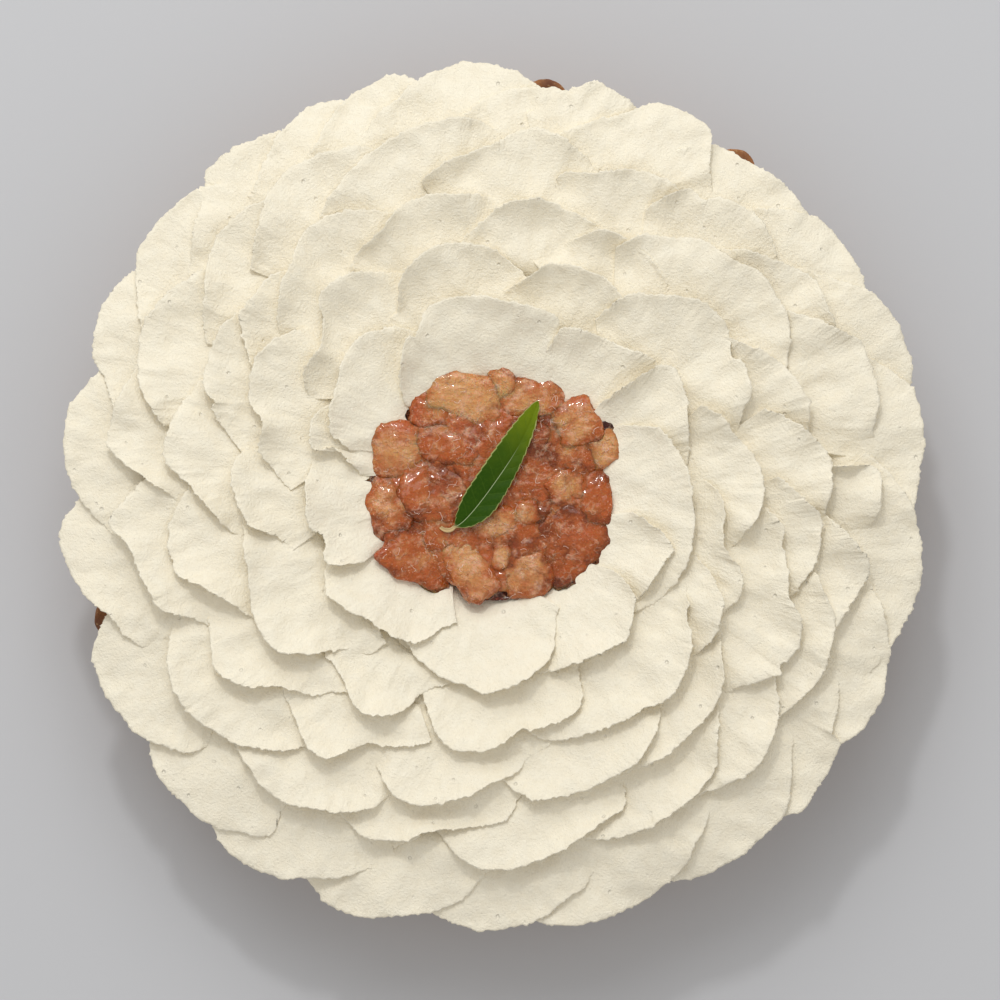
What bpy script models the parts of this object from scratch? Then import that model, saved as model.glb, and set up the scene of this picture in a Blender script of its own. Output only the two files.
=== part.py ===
"""A peach tart: a fluted crust, five rings of piped cream petals, peach compote and a leaf.

Metres, +Z up. The origin is the centre of the flat base that the crust rests on.
Bearings are in degrees, clockwise from +Y as seen from above. Lengths named _MM are
in millimetres until they reach a mesh.
"""

import math
import random

import bmesh
import bpy
from mathutils import Vector
from mathutils.bvhtree import BVHTree

MM = 0.001

# Crust: a baked shell with pressed flutes, solid below the cream.
CRUST_BASE_RADIUS_MM = 102.5
CRUST_RIM_RADIUS_MM = 109.8
CRUST_HEIGHT_MM = 30.0
CRUST_EDGE_ROUND_MM = 1.6
FLUTES = 50
FLUTE_BEARING = 0.3
FLUTE_DEPTH_AT_BASE_MM = 1.2
FLUTE_DEPTH_AT_RIM_MM = 3.0
FLUTE_SIDES = 4
CRUST_BULGES = ((7.5, 2.6), (36.5, 4.6), (118.0, 1.0), (205.0, 1.2), (251.5, 2.6), (310.0, 0.8))
BULGE_WIDTH = 6.0

# Cream: petals in rings over a turned core, with a bowl in its middle.
GAP_MM = 0.3
CREAM_FLOOR_MM = CRUST_HEIGHT_MM + GAP_MM
BOWL_MM = ((22.0, 30.3), (38.0, 41.4))
BOWL_BRIM_MM = 6.0
BRIM_SLOPE = 0.9
CORE_TOP_MM = ((38.0, 39.6), (46.0, 42.0), (62.0, 41.4), (78.0, 39.6), (94.0, 37.0), (106.0, 33.6))
CORE_SEGMENTS = 48
PETAL_FAN = 88.0
PETAL_ACROSS = 9
PETAL_ALONG = 2
ROW_SPACING = 0.7
PETAL_OVERLAP = 0.95
PETAL_MIN_SPREAD = 13.0
PETAL_MAX_SPREAD = 36.0
LIFT_RANGE_MM = 0.5
CURL_POWER = 5
UNDERSIDE_MM = 31.0
UNDERSIDE_STEP_MM = 0.02
OUTER_UNDERSIDE_MM = 30.4
LAST_PETAL_SPREAD = 26.0
LAST_PETAL_LIFT_MM = 2.2


class Ring:
    """One ring of petals: its root and lip, how its petals curl, and each lip's crest."""

    def __init__(self, root, lip_z, rise, root_width, squareness, curl, tilt, ruffle, crests):
        self.root_radius, self.root_z = root
        self.lip_z = lip_z
        self.rise = rise
        self.root_width = root_width
        self.squareness = squareness
        self.curl = curl
        self.tilt = tilt
        self.ruffle = ruffle
        self.crests = crests


# Each crest is a petal's bearing and the radius in millimetres that its lip reaches.
RINGS = (
    Ring(
        root=(29.5, 36.0), lip_z=49.2, rise=1.0, root_width=0.7, squareness=0.42, curl=1.2, tilt=1.6, ruffle=0.6,
        crests=(
            (355, 53.7), (46, 57.4), (66, 56.4), (97, 53.4), (118, 47.8), (141, 51.2),
            (182, 52.2), (237, 50.4), (272, 49.6), (293, 51.8), (320, 55.4),
        ),
    ),
    Ring(
        root=(45.0, 42.5), lip_z=47.2, rise=3.0, root_width=0.4, squareness=0.75, curl=1.4, tilt=2.0, ruffle=0.8,
        crests=(
            (21, 65.2), (52, 76.4), (87, 71.4), (109, 70.6), (124, 69.6), (148, 70.2),
            (183, 68.2), (211, 66.5), (240, 71.4), (274, 69.6), (301, 73.0), (323, 71.2),
            (349, 68.0),
        ),
    ),
    Ring(
        root=(58.0, 41.5), lip_z=44.8, rise=3.0, root_width=0.35, squareness=0.75, curl=1.4, tilt=2.2, ruffle=0.8,
        crests=(
            (11, 80.2), (31, 76.4), (51, 92.4), (72, 87.2), (86, 90.0), (99, 87.4),
            (116, 90.4), (143, 83.0), (164, 81.4), (190, 82.8), (214, 82.4), (238, 86.6),
            (261, 87.0), (281, 87.8), (300, 85.2), (312, 83.4), (328, 87.0), (347, 81.8),
        ),
    ),
    Ring(
        root=(71.0, 39.5), lip_z=41.4, rise=3.0, root_width=0.3, squareness=0.75, curl=1.4, tilt=2.2, ruffle=0.8,
        crests=(
            (8, 98.4), (28, 95.6), (43, 101.6), (59, 102.2), (71, 106.4), (88, 103.8),
            (103, 101.8), (118, 99.0), (136, 99.8), (154, 96.6), (179, 98.8), (200, 96.6),
            (216, 98.4), (238, 98.6), (259, 97.4), (282, 104.2), (297, 103.2), (315, 100.8),
            (331, 102.4), (349, 101.2),
        ),
    ),
    Ring(
        root=(87.0, 39.2), lip_z=35.2, rise=0.6, root_width=0.3, squareness=0.75, curl=0.2, tilt=1.8, ruffle=0.7,
        crests=(
            (14, 113.4), (27, 114.4), (45, 114.4), (57, 115.2), (69, 117.4), (81, 115.4),
            (102, 116.0), (120, 117.0), (135, 117.4), (147, 117.0), (165, 116.4), (181, 116.0),
            (199, 117.4), (215, 118.0), (229, 116.4), (244, 116.0), (263, 116.0), (279, 115.8),
            (296, 116.2), (310, 115.4), (325, 115.0), (344, 116.0), (358, 115.2),
        ),
    ),
)

# Compote: diced peach over a mound. Each dice: centre x, y, length, width, turn.
MOUND_RADIUS_MM = 28.0
MOUND_TOP_MM = 43.6
MOUND_EDGE_MM = 40.4
MOUND_SEGMENTS = 40
DICE_TOP_MM = 46.6
DICE_DROP_PER_MM = 0.12
DICE_DEPTH_MM = 7.5
DICE_CHAMFER = 0.18
DICE_UNEVEN = 0.09
DICE_MM = (
    (-7.2, 27.0, 19.0, 10.5, -14.0),
    (1.8, 29.8, 6.0, 7.0, 10.0),
    (10.0, 25.4, 14.0, 8.0, -4.0),
    (20.2, 19.2, 15.0, 15.0, 12.0),
    (31.0, 13.4, 7.5, 8.5, 30.0),
    (-25.0, 12.0, 12.0, 12.0, 2.0),
    (-13.0, 17.0, 16.0, 12.0, -20.0),
    (-27.4, -1.0, 11.0, 14.0, 18.0),
    (-20.0, -15.0, 15.0, 12.0, -24.0),
    (-6.6, -19.0, 10.0, 17.0, 24.0),
    (1.9, -16.2, 5.0, 6.0, 0.0),
    (9.6, -20.6, 11.5, 10.0, 16.0),
    (21.0, -12.6, 13.0, 13.0, 40.0),
    (20.5, 2.6, 13.0, 11.0, 20.0),
    (10.0, -2.6, 10.0, 9.0, -30.0),
    (29.0, 5.0, 7.0, 9.0, 12.0),
    (0.6, -7.0, 11.0, 8.0, 34.0),
    (-16.4, 1.4, 13.0, 14.0, -8.0),
    (-3.0, 11.0, 15.0, 13.0, 26.0),
    (8.6, 12.6, 12.0, 12.0, -12.0),
    (13.4, -11.4, 10.0, 9.0, 8.0),
    (-10.6, -7.6, 12.0, 10.0, 14.0),
)

# Leaf: it lies over the dice from its stalk to its tip.
LEAF_BASE_MM = (-10.1, -7.7)
LEAF_TIP_MM = (12.1, 25.4)
LEAF_STALK_MM = 3.6
LEAF_WIDTH_MM = 10.6
LEAF_STALK_WIDTH_MM = 1.0
LEAF_WIDEST = 0.36
LEAF_BOW_MM = 1.6
LEAF_ARCH_MM = 1.4
LEAF_FOLD_MM = 0.9
LEAF_THICKNESS_MM = 0.4
LEAF_ROWS = 16
LEAF_COLUMNS = 4


def clear_scene():
    for thing in list(bpy.data.objects):
        bpy.data.objects.remove(thing, do_unlink=True)


def new_collection(name):
    group = bpy.data.collections.new(name)
    bpy.context.scene.collection.children.link(group)
    return group


def new_material(name, colour, roughness):
    material = bpy.data.materials.new(name)
    material.use_nodes = True
    shader = material.node_tree.nodes["Principled BSDF"]
    shader.inputs["Base Color"].default_value = (*colour, 1.0)
    shader.inputs["Roughness"].default_value = roughness
    shader.inputs["Metallic"].default_value = 0.0
    return material


def new_object(name, mesh, group, material=None):
    thing = bpy.data.objects.new(name, mesh)
    group.objects.link(thing)
    if material:
        mesh.materials.clear()
        mesh.materials.append(material)
    return thing


def finish_bmesh(shape, name):
    bmesh.ops.recalc_face_normals(shape, faces=shape.faces)
    mesh = bpy.data.meshes.new(name)
    shape.to_mesh(mesh)
    shape.free()
    return mesh


def polar(bearing, radius_mm, z_mm):
    """The point at a bearing and a radius, in metres."""
    angle = math.radians(bearing)
    return Vector((radius_mm * math.sin(angle), radius_mm * math.cos(angle), z_mm)) * MM


def bearing_of(point):
    return math.degrees(math.atan2(point.x, point.y)) % 360.0


def along_profile(radius, profile):
    """The height of a profile of (radius, height) points, straight between them."""
    for (r0, z0), (r1, z1) in zip(profile, profile[1:]):
        if radius <= r1:
            share = max(0.0, (radius - r0) / (r1 - r0))
            return z0 + (z1 - z0) * share
    return profile[-1][1]


def turned(name, profile_mm, segments, group):
    """A profile of (radius, height) points, turned round Z with a Screw modifier."""
    mesh = bpy.data.meshes.new(name + "_profile")
    points = [Vector((r, 0.0, z)) * MM for r, z in profile_mm]
    edges = [(i, i + 1) for i in range(len(points) - 1)]
    if profile_mm[0][0] > 0.0:
        edges.append((len(points) - 1, 0))
    mesh.from_pydata(points, edges, [])
    thing = new_object(name, mesh, group)
    screw = thing.modifiers.new("turn", "SCREW")
    screw.steps = segments
    screw.render_steps = segments
    screw.use_merge_vertices = True
    screw.merge_threshold = 0.00001
    screw.use_smooth_shade = False
    return thing


def apply_modifiers(thing):
    """Replace the object's mesh by its evaluated one."""
    graph = bpy.context.evaluated_depsgraph_get()
    result = bpy.data.meshes.new_from_object(thing.evaluated_get(graph))
    thing.modifiers.clear()
    thing.data = result


def set_material(thing, material):
    thing.data.materials.clear()
    thing.data.materials.append(material)
    for face in thing.data.polygons:
        face.material_index = 0


# ---------------------------------------------------------------- crust


def flute(bearing):
    """How far the wall is pressed in: 0 on a flute's crest, 1 in the crease between two."""
    return 1.0 - abs(math.cos(math.radians((bearing - FLUTE_BEARING) * FLUTES / 2.0)))


def bulge(bearing):
    """The uneven rim: a few places where the crust leans out."""
    total = 0.0
    for centre, height in CRUST_BULGES:
        apart = (bearing - centre + 180.0) % 360.0 - 180.0
        total += height * math.exp(-((apart / BULGE_WIDTH) ** 2))
    return total


def make_crust(group, material):
    rim = CRUST_RIM_RADIUS_MM
    top = CRUST_HEIGHT_MM
    edge = CRUST_EDGE_ROUND_MM
    belly = (CRUST_BASE_RADIUS_MM + rim) / 2.0 - 0.6
    profile = (
        (0.0, top),
        (rim - edge * 2.4, top),
        (rim - edge * 0.7, top - edge * 0.3),
        (rim, top - edge),
        (belly, top * 0.5),
        (CRUST_BASE_RADIUS_MM, edge * 0.8),
        (CRUST_BASE_RADIUS_MM - edge, 0.0),
        (0.0, 0.0),
    )
    crust = turned("crust", profile, FLUTES * FLUTE_SIDES, group)
    apply_modifiers(crust)
    for vertex in crust.data.vertices:
        point = vertex.co
        radius = math.hypot(point.x, point.y) / MM
        if radius < 1.0:
            continue
        bearing = bearing_of(point) + FLUTE_BEARING
        height = point.z / (CRUST_HEIGHT_MM * MM)
        depth = FLUTE_DEPTH_AT_BASE_MM + (FLUTE_DEPTH_AT_RIM_MM - FLUTE_DEPTH_AT_BASE_MM) * height
        radius += bulge(bearing) * height - depth * flute(bearing)
        vertex.co = polar(bearing, radius, point.z / MM)
    set_material(crust, material)
    return crust


# ---------------------------------------------------------------- cream


class Petal:
    """One piped petal: a fan that opens from its root to a curled lip."""

    def __init__(self, level, number, dice):
        self.ring = RINGS[level]
        crests = self.ring.crests
        self.bearing, self.reach = crests[number]
        before = (self.bearing - crests[number - 1][0]) % 360.0
        after = (crests[(number + 1) % len(crests)][0] - self.bearing) % 360.0
        self.spread_before = self.spread(before)
        self.spread_after = self.spread(after)
        self.tilt = self.ring.tilt
        self.lift = dice.uniform(-LIFT_RANGE_MM, LIFT_RANGE_MM)
        self.waves = dice.choice((1.5, 2.0, 2.5))
        self.phase = dice.uniform(0.0, 2.0 * math.pi)
        outermost = level == len(RINGS) - 1
        self.underside = OUTER_UNDERSIDE_MM if outermost else UNDERSIDE_MM + 0.1 * level
        self.underside += number * UNDERSIDE_STEP_MM
        if level == 0 and number == 0:
            self.spread_after = LAST_PETAL_SPREAD
            self.tilt = 0.0
            self.lift = LAST_PETAL_LIFT_MM

    @staticmethod
    def spread(spacing):
        return min(PETAL_MAX_SPREAD, max(PETAL_MIN_SPREAD, spacing * PETAL_OVERLAP + 1.0))

    def place(self, across, along):
        """Bearing, radius and share of the way out, for -1..1 across and 0..1 along."""
        ring = self.ring
        fan = math.radians(PETAL_FAN * across)
        spread = self.spread_before if across < 0.0 else self.spread_after
        width = spread * (ring.root_width + (1.0 - ring.root_width) * along)
        out = along * math.cos(fan) ** ring.squareness
        radius = ring.root_radius + (self.reach - ring.root_radius) * out
        return self.bearing + width * math.sin(fan), radius, out

    def top(self, across, along):
        ring = self.ring
        bearing, radius, out = self.place(across, along)
        z = ring.root_z + (ring.lip_z + self.lift - ring.root_z) * (1.0 - (1.0 - out) ** ring.rise)
        z += ring.curl * along ** CURL_POWER * (0.4 + 0.6 * out)
        z -= self.tilt * across * (0.3 + 0.7 * out)
        z += ring.ruffle * along ** 2 * math.sin(math.pi * self.waves * across + self.phase)
        past_bowl = radius - BOWL_MM[-1][0]
        if past_bowl < BOWL_BRIM_MM:
            z = min(z, along_profile(radius, BOWL_MM) - GAP_MM + max(0.0, past_bowl) * BRIM_SLOPE)
        return polar(bearing, radius, z)

    def under(self, across, along):
        bearing, radius, _ = self.place(across, along)
        return polar(bearing, radius, self.underside)


def make_petal(petal, name, group):
    """A grid drawn out into a block: flat below, upright at the lip, shaped on top."""
    shape = bmesh.new()
    bmesh.ops.create_grid(shape, x_segments=PETAL_ACROSS, y_segments=PETAL_ALONG, size=1.0)
    lower = list(shape.verts)
    block = bmesh.ops.extrude_face_region(shape, geom=list(shape.faces), use_keep_orig=True)
    upper = [item for item in block["geom"] if isinstance(item, bmesh.types.BMVert)]
    upper_faces = [item for item in block["geom"] if isinstance(item, bmesh.types.BMFace)]
    for vertices, shaped in ((upper, petal.top), (lower, petal.under)):
        for vertex in vertices:
            along = ((vertex.co.y + 1.0) / 2.0) ** ROW_SPACING
            vertex.co = shaped(vertex.co.x, along)
    bmesh.ops.triangulate(shape, faces=upper_faces)
    lower_faces = [face for face in shape.faces if all(vertex in lower for vertex in face.verts)]
    bmesh.ops.dissolve_faces(shape, faces=lower_faces)
    return new_object(name, finish_bmesh(shape, name), group)


def keep_largest_body(thing):
    """Drop loose scraps and the inner walls of sealed hollows."""
    shape = bmesh.new()
    shape.from_mesh(thing.data)
    left = set(shape.verts)
    bodies = []
    while left:
        body = {left.pop()}
        reach = list(body)
        while reach:
            vertex = reach.pop()
            for edge in vertex.link_edges:
                other = edge.other_vert(vertex)
                if other not in body:
                    body.add(other)
                    reach.append(other)
        left -= body
        bodies.append(body)
    bodies.sort(key=len)
    for body in bodies[:-1]:
        bmesh.ops.delete(shape, geom=list(body), context="VERTS")
    shape.to_mesh(thing.data)
    shape.free()


def fuse(thing, pieces, solver):
    """Union a collection of pieces into the object, then remove them."""
    union = thing.modifiers.new("fuse", "BOOLEAN")
    union.operation = "UNION"
    union.operand_type = "COLLECTION"
    union.collection = pieces
    union.solver = solver
    bpy.context.view_layer.update()
    apply_modifiers(thing)
    for piece in list(pieces.objects):
        bpy.data.objects.remove(piece, do_unlink=True)
    keep_largest_body(thing)


def make_cream(group, cutters, material):
    profile = list(BOWL_MM[:-1])
    profile += CORE_TOP_MM
    profile.append((CORE_TOP_MM[-1][0], CREAM_FLOOR_MM))
    profile.reverse()
    cream = turned("whipped_cream", profile, CORE_SEGMENTS, group)
    apply_modifiers(cream)
    dice = random.Random(7)
    for level, ring in enumerate(RINGS):
        for number in range(len(ring.crests)):
            make_petal(Petal(level, number, dice), f"petal_{level + 1}_{number + 1}", cutters)
    fuse(cream, cutters, "EXACT")
    set_material(cream, material)
    return cream


# ---------------------------------------------------------------- compote


def make_dice(number, size, group, dice):
    """One diced piece: a cube with its corners cut and its faces uneven."""
    x, y, length, width, turn = size
    top = DICE_TOP_MM - DICE_DROP_PER_MM * math.hypot(x, y) + dice.uniform(-0.8, 0.8)
    shape = bmesh.new()
    bmesh.ops.create_cube(shape, size=1.0)
    rim = [edge for edge in shape.edges if all(vertex.co.z > 0.0 for vertex in edge.verts)]
    bmesh.ops.bevel(shape, geom=rim, offset=DICE_CHAMFER, segments=1, affect="EDGES")
    angle = math.radians(turn)
    lean = (dice.uniform(-0.12, 0.12), dice.uniform(-0.12, 0.12))
    for vertex in shape.verts:
        u, v, w = (share + dice.uniform(-DICE_UNEVEN, DICE_UNEVEN) for share in vertex.co)
        along = u * length
        side = v * width
        px = x + along * math.cos(angle) - side * math.sin(angle)
        py = y + along * math.sin(angle) + side * math.cos(angle)
        pz = top - DICE_DEPTH_MM * (0.5 - w) + lean[0] * along + lean[1] * side
        radius = math.hypot(px, py)
        if radius > BOWL_MM[0][0]:
            pz = max(pz, along_profile(radius, BOWL_MM) + GAP_MM)
        vertex.co = Vector((px, py, pz)) * MM
    bmesh.ops.triangulate(shape, faces=shape.faces)
    return new_object(f"dice_{number}", finish_bmesh(shape, "dice"), group)


def make_compote(group, cutters, material):
    floor = CREAM_FLOOR_MM + GAP_MM
    foot = BOWL_MM[0][0] - GAP_MM
    profile = (
        (0.0, MOUND_TOP_MM),
        (MOUND_RADIUS_MM * 0.6, MOUND_TOP_MM - 0.8),
        (MOUND_RADIUS_MM - 1.6, MOUND_EDGE_MM),
        (MOUND_RADIUS_MM, along_profile(MOUND_RADIUS_MM, BOWL_MM) + 2.0 * GAP_MM),
        (foot, floor),
        (0.0, floor),
    )
    compote = turned("peach_compote", profile, MOUND_SEGMENTS, group)
    apply_modifiers(compote)
    dice = random.Random(11)
    for number, size in enumerate(DICE_MM):
        make_dice(number, size, cutters, dice)
    fuse(compote, cutters, "EXACT")
    set_material(compote, material)
    return compote


# ---------------------------------------------------------------- leaf


def leaf_half_width(share):
    """Half the leaf's width at a share of its length: stalk, round base, long point."""
    stalk = LEAF_STALK_MM / (LEAF_STALK_MM + leaf_blade_length())
    if share <= stalk:
        return LEAF_STALK_WIDTH_MM / 2.0
    blade = (share - stalk) / (1.0 - stalk)
    if blade < LEAF_WIDEST:
        shape = math.sin(blade / LEAF_WIDEST * math.pi / 2.0) ** 0.8
    else:
        shape = math.cos((blade - LEAF_WIDEST) / (1.0 - LEAF_WIDEST) * math.pi / 2.0) ** 0.85
    return max(LEAF_STALK_WIDTH_MM / 2.0 * (1.0 - blade), LEAF_WIDTH_MM / 2.0 * shape)


def leaf_blade_length():
    return math.dist(LEAF_BASE_MM, LEAF_TIP_MM)


def leaf_point(across, share):
    """A point of the leaf, flat at height 0 but for its arch, fold and waves."""
    blade = leaf_blade_length()
    direction = ((LEAF_TIP_MM[0] - LEAF_BASE_MM[0]) / blade, (LEAF_TIP_MM[1] - LEAF_BASE_MM[1]) / blade)
    along = share * (blade + LEAF_STALK_MM) - LEAF_STALK_MM
    half = leaf_half_width(share)
    bow = LEAF_BOW_MM * math.sin(math.pi * max(0.0, along) / blade)
    if along < 0.0:
        bow += along * along * 0.12
    side = across * half + bow
    x = LEAF_BASE_MM[0] + along * direction[0] + side * direction[1]
    y = LEAF_BASE_MM[1] + along * direction[1] - side * direction[0]
    z = LEAF_ARCH_MM * math.sin(math.pi * share)
    z += LEAF_FOLD_MM * abs(across) * half / (LEAF_WIDTH_MM / 2.0)
    z += 0.35 * across * math.sin(share * 3.2 * math.pi)
    return Vector((x, y, z)) * MM


def make_leaf(group, compote, material):
    shape = bmesh.new()
    bmesh.ops.create_grid(shape, x_segments=LEAF_COLUMNS, y_segments=LEAF_ROWS, size=1.0)
    for vertex in shape.verts:
        share = (vertex.co.y + 1.0) / 2.0
        vertex.co = leaf_point(vertex.co.x, share)
    bmesh.ops.remove_doubles(shape, verts=shape.verts, dist=0.02 * MM)

    rest_on = bmesh.new()
    rest_on.from_mesh(compote.data)
    tree = BVHTree.FromBMesh(rest_on)
    lift = 0.0
    for vertex in shape.verts:
        above = Vector((vertex.co.x, vertex.co.y, 1.0))
        hit, _, _, _ = tree.ray_cast(above, Vector((0.0, 0.0, -1.0)))
        if hit:
            lift = max(lift, hit.z - vertex.co.z)
    rest_on.free()
    for vertex in shape.verts:
        vertex.co.z += lift + (GAP_MM + 0.2 + LEAF_THICKNESS_MM) * MM

    bmesh.ops.triangulate(shape, faces=shape.faces)
    bmesh.ops.recalc_face_normals(shape, faces=shape.faces)
    if sum(face.normal.z for face in shape.faces) < 0.0:
        bmesh.ops.reverse_faces(shape, faces=shape.faces)
    mesh = bpy.data.meshes.new("leaf")
    shape.to_mesh(mesh)
    shape.free()
    leaf = new_object("leaf", mesh, group, material)
    sheet = leaf.modifiers.new("thickness", "SOLIDIFY")
    sheet.thickness = LEAF_THICKNESS_MM * MM
    sheet.offset = -1.0
    return leaf


def main():
    clear_scene()
    tart = new_collection("peach_tart")
    cutters = new_collection("pieces_to_fuse")
    crust_material = new_material("crust", (0.42, 0.20, 0.075), 0.75)
    cream_material = new_material("cream", (0.90, 0.87, 0.78), 0.6)
    peach_material = new_material("peach", (0.53, 0.23, 0.13), 0.2)
    leaf_material = new_material("leaf", (0.05, 0.13, 0.015), 0.45)
    make_crust(tart, crust_material)
    make_cream(tart, cutters, cream_material)
    compote = make_compote(tart, cutters, peach_material)
    make_leaf(tart, compote, leaf_material)
    bpy.data.collections.remove(cutters)


main()
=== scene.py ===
"""The looks of a peach tart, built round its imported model.

Metres, +Z up, the tart's base on z = 0 and +Y towards the top of the photograph. Names
that end in _MM and the lengths among a tree's sizes are in millimetres, and so are the
petals' lips. Bearings are in degrees, clockwise from +Y, seen from above.
"""

import math
import random

import bmesh
import bpy
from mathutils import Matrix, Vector


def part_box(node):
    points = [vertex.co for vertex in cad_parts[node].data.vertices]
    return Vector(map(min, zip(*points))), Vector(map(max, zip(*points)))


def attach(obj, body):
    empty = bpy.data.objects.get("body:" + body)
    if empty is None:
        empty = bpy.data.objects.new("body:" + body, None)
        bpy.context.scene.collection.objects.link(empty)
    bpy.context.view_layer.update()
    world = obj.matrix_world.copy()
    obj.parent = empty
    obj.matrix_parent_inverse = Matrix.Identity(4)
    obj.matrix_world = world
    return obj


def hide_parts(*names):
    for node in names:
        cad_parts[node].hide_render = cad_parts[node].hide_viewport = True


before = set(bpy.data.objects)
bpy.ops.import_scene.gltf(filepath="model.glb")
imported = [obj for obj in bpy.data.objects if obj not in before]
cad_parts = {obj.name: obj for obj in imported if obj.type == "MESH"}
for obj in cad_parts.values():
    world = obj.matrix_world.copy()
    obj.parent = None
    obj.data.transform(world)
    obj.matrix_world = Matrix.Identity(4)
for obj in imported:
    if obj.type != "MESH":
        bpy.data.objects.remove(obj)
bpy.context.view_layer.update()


# ---------------------------------------------------------------- Crust
# A shell of shortcrust pastry, pressed by hand into a fluted tin 30 mm deep and baked
# until brown. Its wall leans out in 50 flutes, and its rim bulges past the cream in a few
# places. It is filled to the rim, so it is solid here.

CRUST_SECTION_MM = (
    (0.0, 0.0), (90.0, 0.0), (101.4, 0.0), (102.7, 1.4), (104.6, 9.0), (107.0, 19.0),
    (109.3, 27.6), (109.3, 29.9), (106.4, 30.0), (60.0, 29.9), (0.0, 29.9),
)
CRUST_ROUNDING = 3
CRUST_STEPS_ROUND = 1100
CRUST_SIZES = {
    "Flutes": 50.0,
    "First flute": 0.3,
    "Depth at base": 1.2,
    "Depth at rim": 3.0,
    "Height": 30.0,
    "Unevenness": 2.2,
    "Crumb": 0.5,
    "Ragged rim": 2.0,
}
# Bearing, and how far the rim bulges out there.
CRUST_BULGES = ((7.5, 4.0), (36.5, 5.6), (118.0, 1.0), (205.0, 1.2), (251.5, 2.4))
CRUST_BULGE_WIDTH = 6.0
CRUST_GOLDEN = (0.56, 0.31, 0.11, 1.0)
CRUST_BROWN = (0.36, 0.145, 0.04, 1.0)
CRUST_TOASTED = (0.12, 0.035, 0.012, 1.0)
CRUST_SPECKS = (0.62, 0.40, 0.18, 1.0)


class Wire:
    """A socket of a node tree. Sums on it add Math nodes, and node() adds any other."""

    def __init__(self, tree, socket=None):
        self.tree = tree
        self.socket = socket

    def node(self, kind, settings, values, output=0):
        """Adds a node: first its settings, then its sockets' values and links."""
        node = self.tree.nodes.new(kind)
        for name, value in settings.items():
            setattr(node, name, value)
        for name, value in values.items():
            if isinstance(value, Wire):
                self.tree.links.new(value.socket, node.inputs[name])
            else:
                node.inputs[name].default_value = value
        return Wire(self.tree, node.outputs[output] if node.outputs else None)

    def math(self, operation, *values):
        """A Math node on wires and numbers."""
        return self.node("ShaderNodeMath", {"operation": operation}, dict(enumerate(values)))

    def __add__(self, other):
        return self.math("ADD", self, other)

    def __radd__(self, other):
        return self.math("ADD", other, self)

    def __sub__(self, other):
        return self.math("SUBTRACT", self, other)

    def __rsub__(self, other):
        return self.math("SUBTRACT", other, self)

    def __mul__(self, other):
        return self.math("MULTIPLY", self, other)

    def __rmul__(self, other):
        return self.math("MULTIPLY", other, self)

    def __truediv__(self, other):
        return self.math("DIVIDE", self, other)

    def __rtruediv__(self, other):
        return self.math("DIVIDE", other, self)

    def __pow__(self, other):
        return self.math("POWER", self, other)

    def __mod__(self, other):
        return self.math("FLOORED_MODULO", self, other)

    def __neg__(self):
        return self.math("MULTIPLY", self, -1.0)

    def __abs__(self):
        return self.math("ABSOLUTE", self)


def sine(angle):
    return angle.math("SINE", angle)


def cosine(angle):
    return angle.math("COSINE", angle)


def ramp_up(value, start, end):
    """0 below start, 1 above end, and smooth between."""
    limits = {"Value": value, "From Min": start, "From Max": end}
    return value.node("ShaderNodeMapRange", {"interpolation_type": "SMOOTHSTEP"}, limits)


def point(x, y, z):
    return x.node("ShaderNodeCombineXYZ", {}, {0: x, 1: y, 2: z})


def noise(place, scale, detail=2.0, roughness=0.5):
    """Soft noise round 0, most of it between -0.3 and 0.3."""
    values = {"Vector": place, "Scale": scale, "Detail": detail, "Roughness": roughness}
    return place.node("ShaderNodeTexNoise", {}, values) - 0.5


def parts_of(vector):
    return [vector.node("ShaderNodeSeparateXYZ", {}, {0: vector}, axis) for axis in range(3)]


def bearing_of(x, y):
    return x.math("ARCTAN2", x, y) * (180.0 / math.pi)


def new_tree(name, sizes):
    """A Geometry Nodes tree with a guide mesh, named sizes and a material as inputs."""
    tree = bpy.data.node_groups.new(name, "GeometryNodeTree")
    tree.interface.new_socket("Guide", in_out="INPUT", socket_type="NodeSocketGeometry")
    for size in sizes:
        tree.interface.new_socket(size, in_out="INPUT", socket_type="NodeSocketFloat")
    tree.interface.new_socket("Material", in_out="INPUT", socket_type="NodeSocketMaterial")
    tree.interface.new_socket("Piece", in_out="OUTPUT", socket_type="NodeSocketGeometry")
    start = tree.nodes.new("NodeGroupInput")
    return tree, {socket.name: Wire(tree, socket) for socket in start.outputs if socket.name}


def end_tree(inputs, shape):
    """Smooth shading, Realize Instances and Set Material, which every tree ends with."""
    shape = shape.node("GeometryNodeSetShadeSmooth", {}, {"Geometry": shape})
    shape = shape.node("GeometryNodeRealizeInstances", {}, {"Geometry": shape})
    values = {"Geometry": shape, "Material": inputs["Material"]}
    shape = shape.node("GeometryNodeSetMaterial", {}, values)
    shape.node("NodeGroupOutput", {}, {"Piece": shape})


def made_by(tree, name, guide, sizes, material):
    """The piece that a tree makes of a guide mesh, as a plain mesh."""
    piece = bpy.data.objects.new(name, guide)
    bpy.context.scene.collection.objects.link(piece)
    maker = piece.modifiers.new(tree.name, "NODES")
    maker.node_group = tree
    values = dict(sizes, Material=material)
    for socket in tree.interface.items_tree:
        if socket.name in values:
            maker[socket.identifier] = values[socket.name]
    graph = bpy.context.evaluated_depsgraph_get()
    mesh = bpy.data.meshes.new_from_object(piece.evaluated_get(graph))
    piece.modifiers.remove(maker)
    piece.data = mesh
    return piece


def rounded(line, rounds):
    """Cuts the corners of a line of points, a few times over."""
    for _ in range(rounds):
        cut = [line[0]]
        for (r0, z0), (r1, z1) in zip(line, line[1:]):
            cut.append((0.75 * r0 + 0.25 * r1, 0.75 * z0 + 0.25 * z1))
            cut.append((0.25 * r0 + 0.75 * r1, 0.25 * z0 + 0.75 * z1))
        cut.append(line[-1])
        line = cut
    return line


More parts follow.
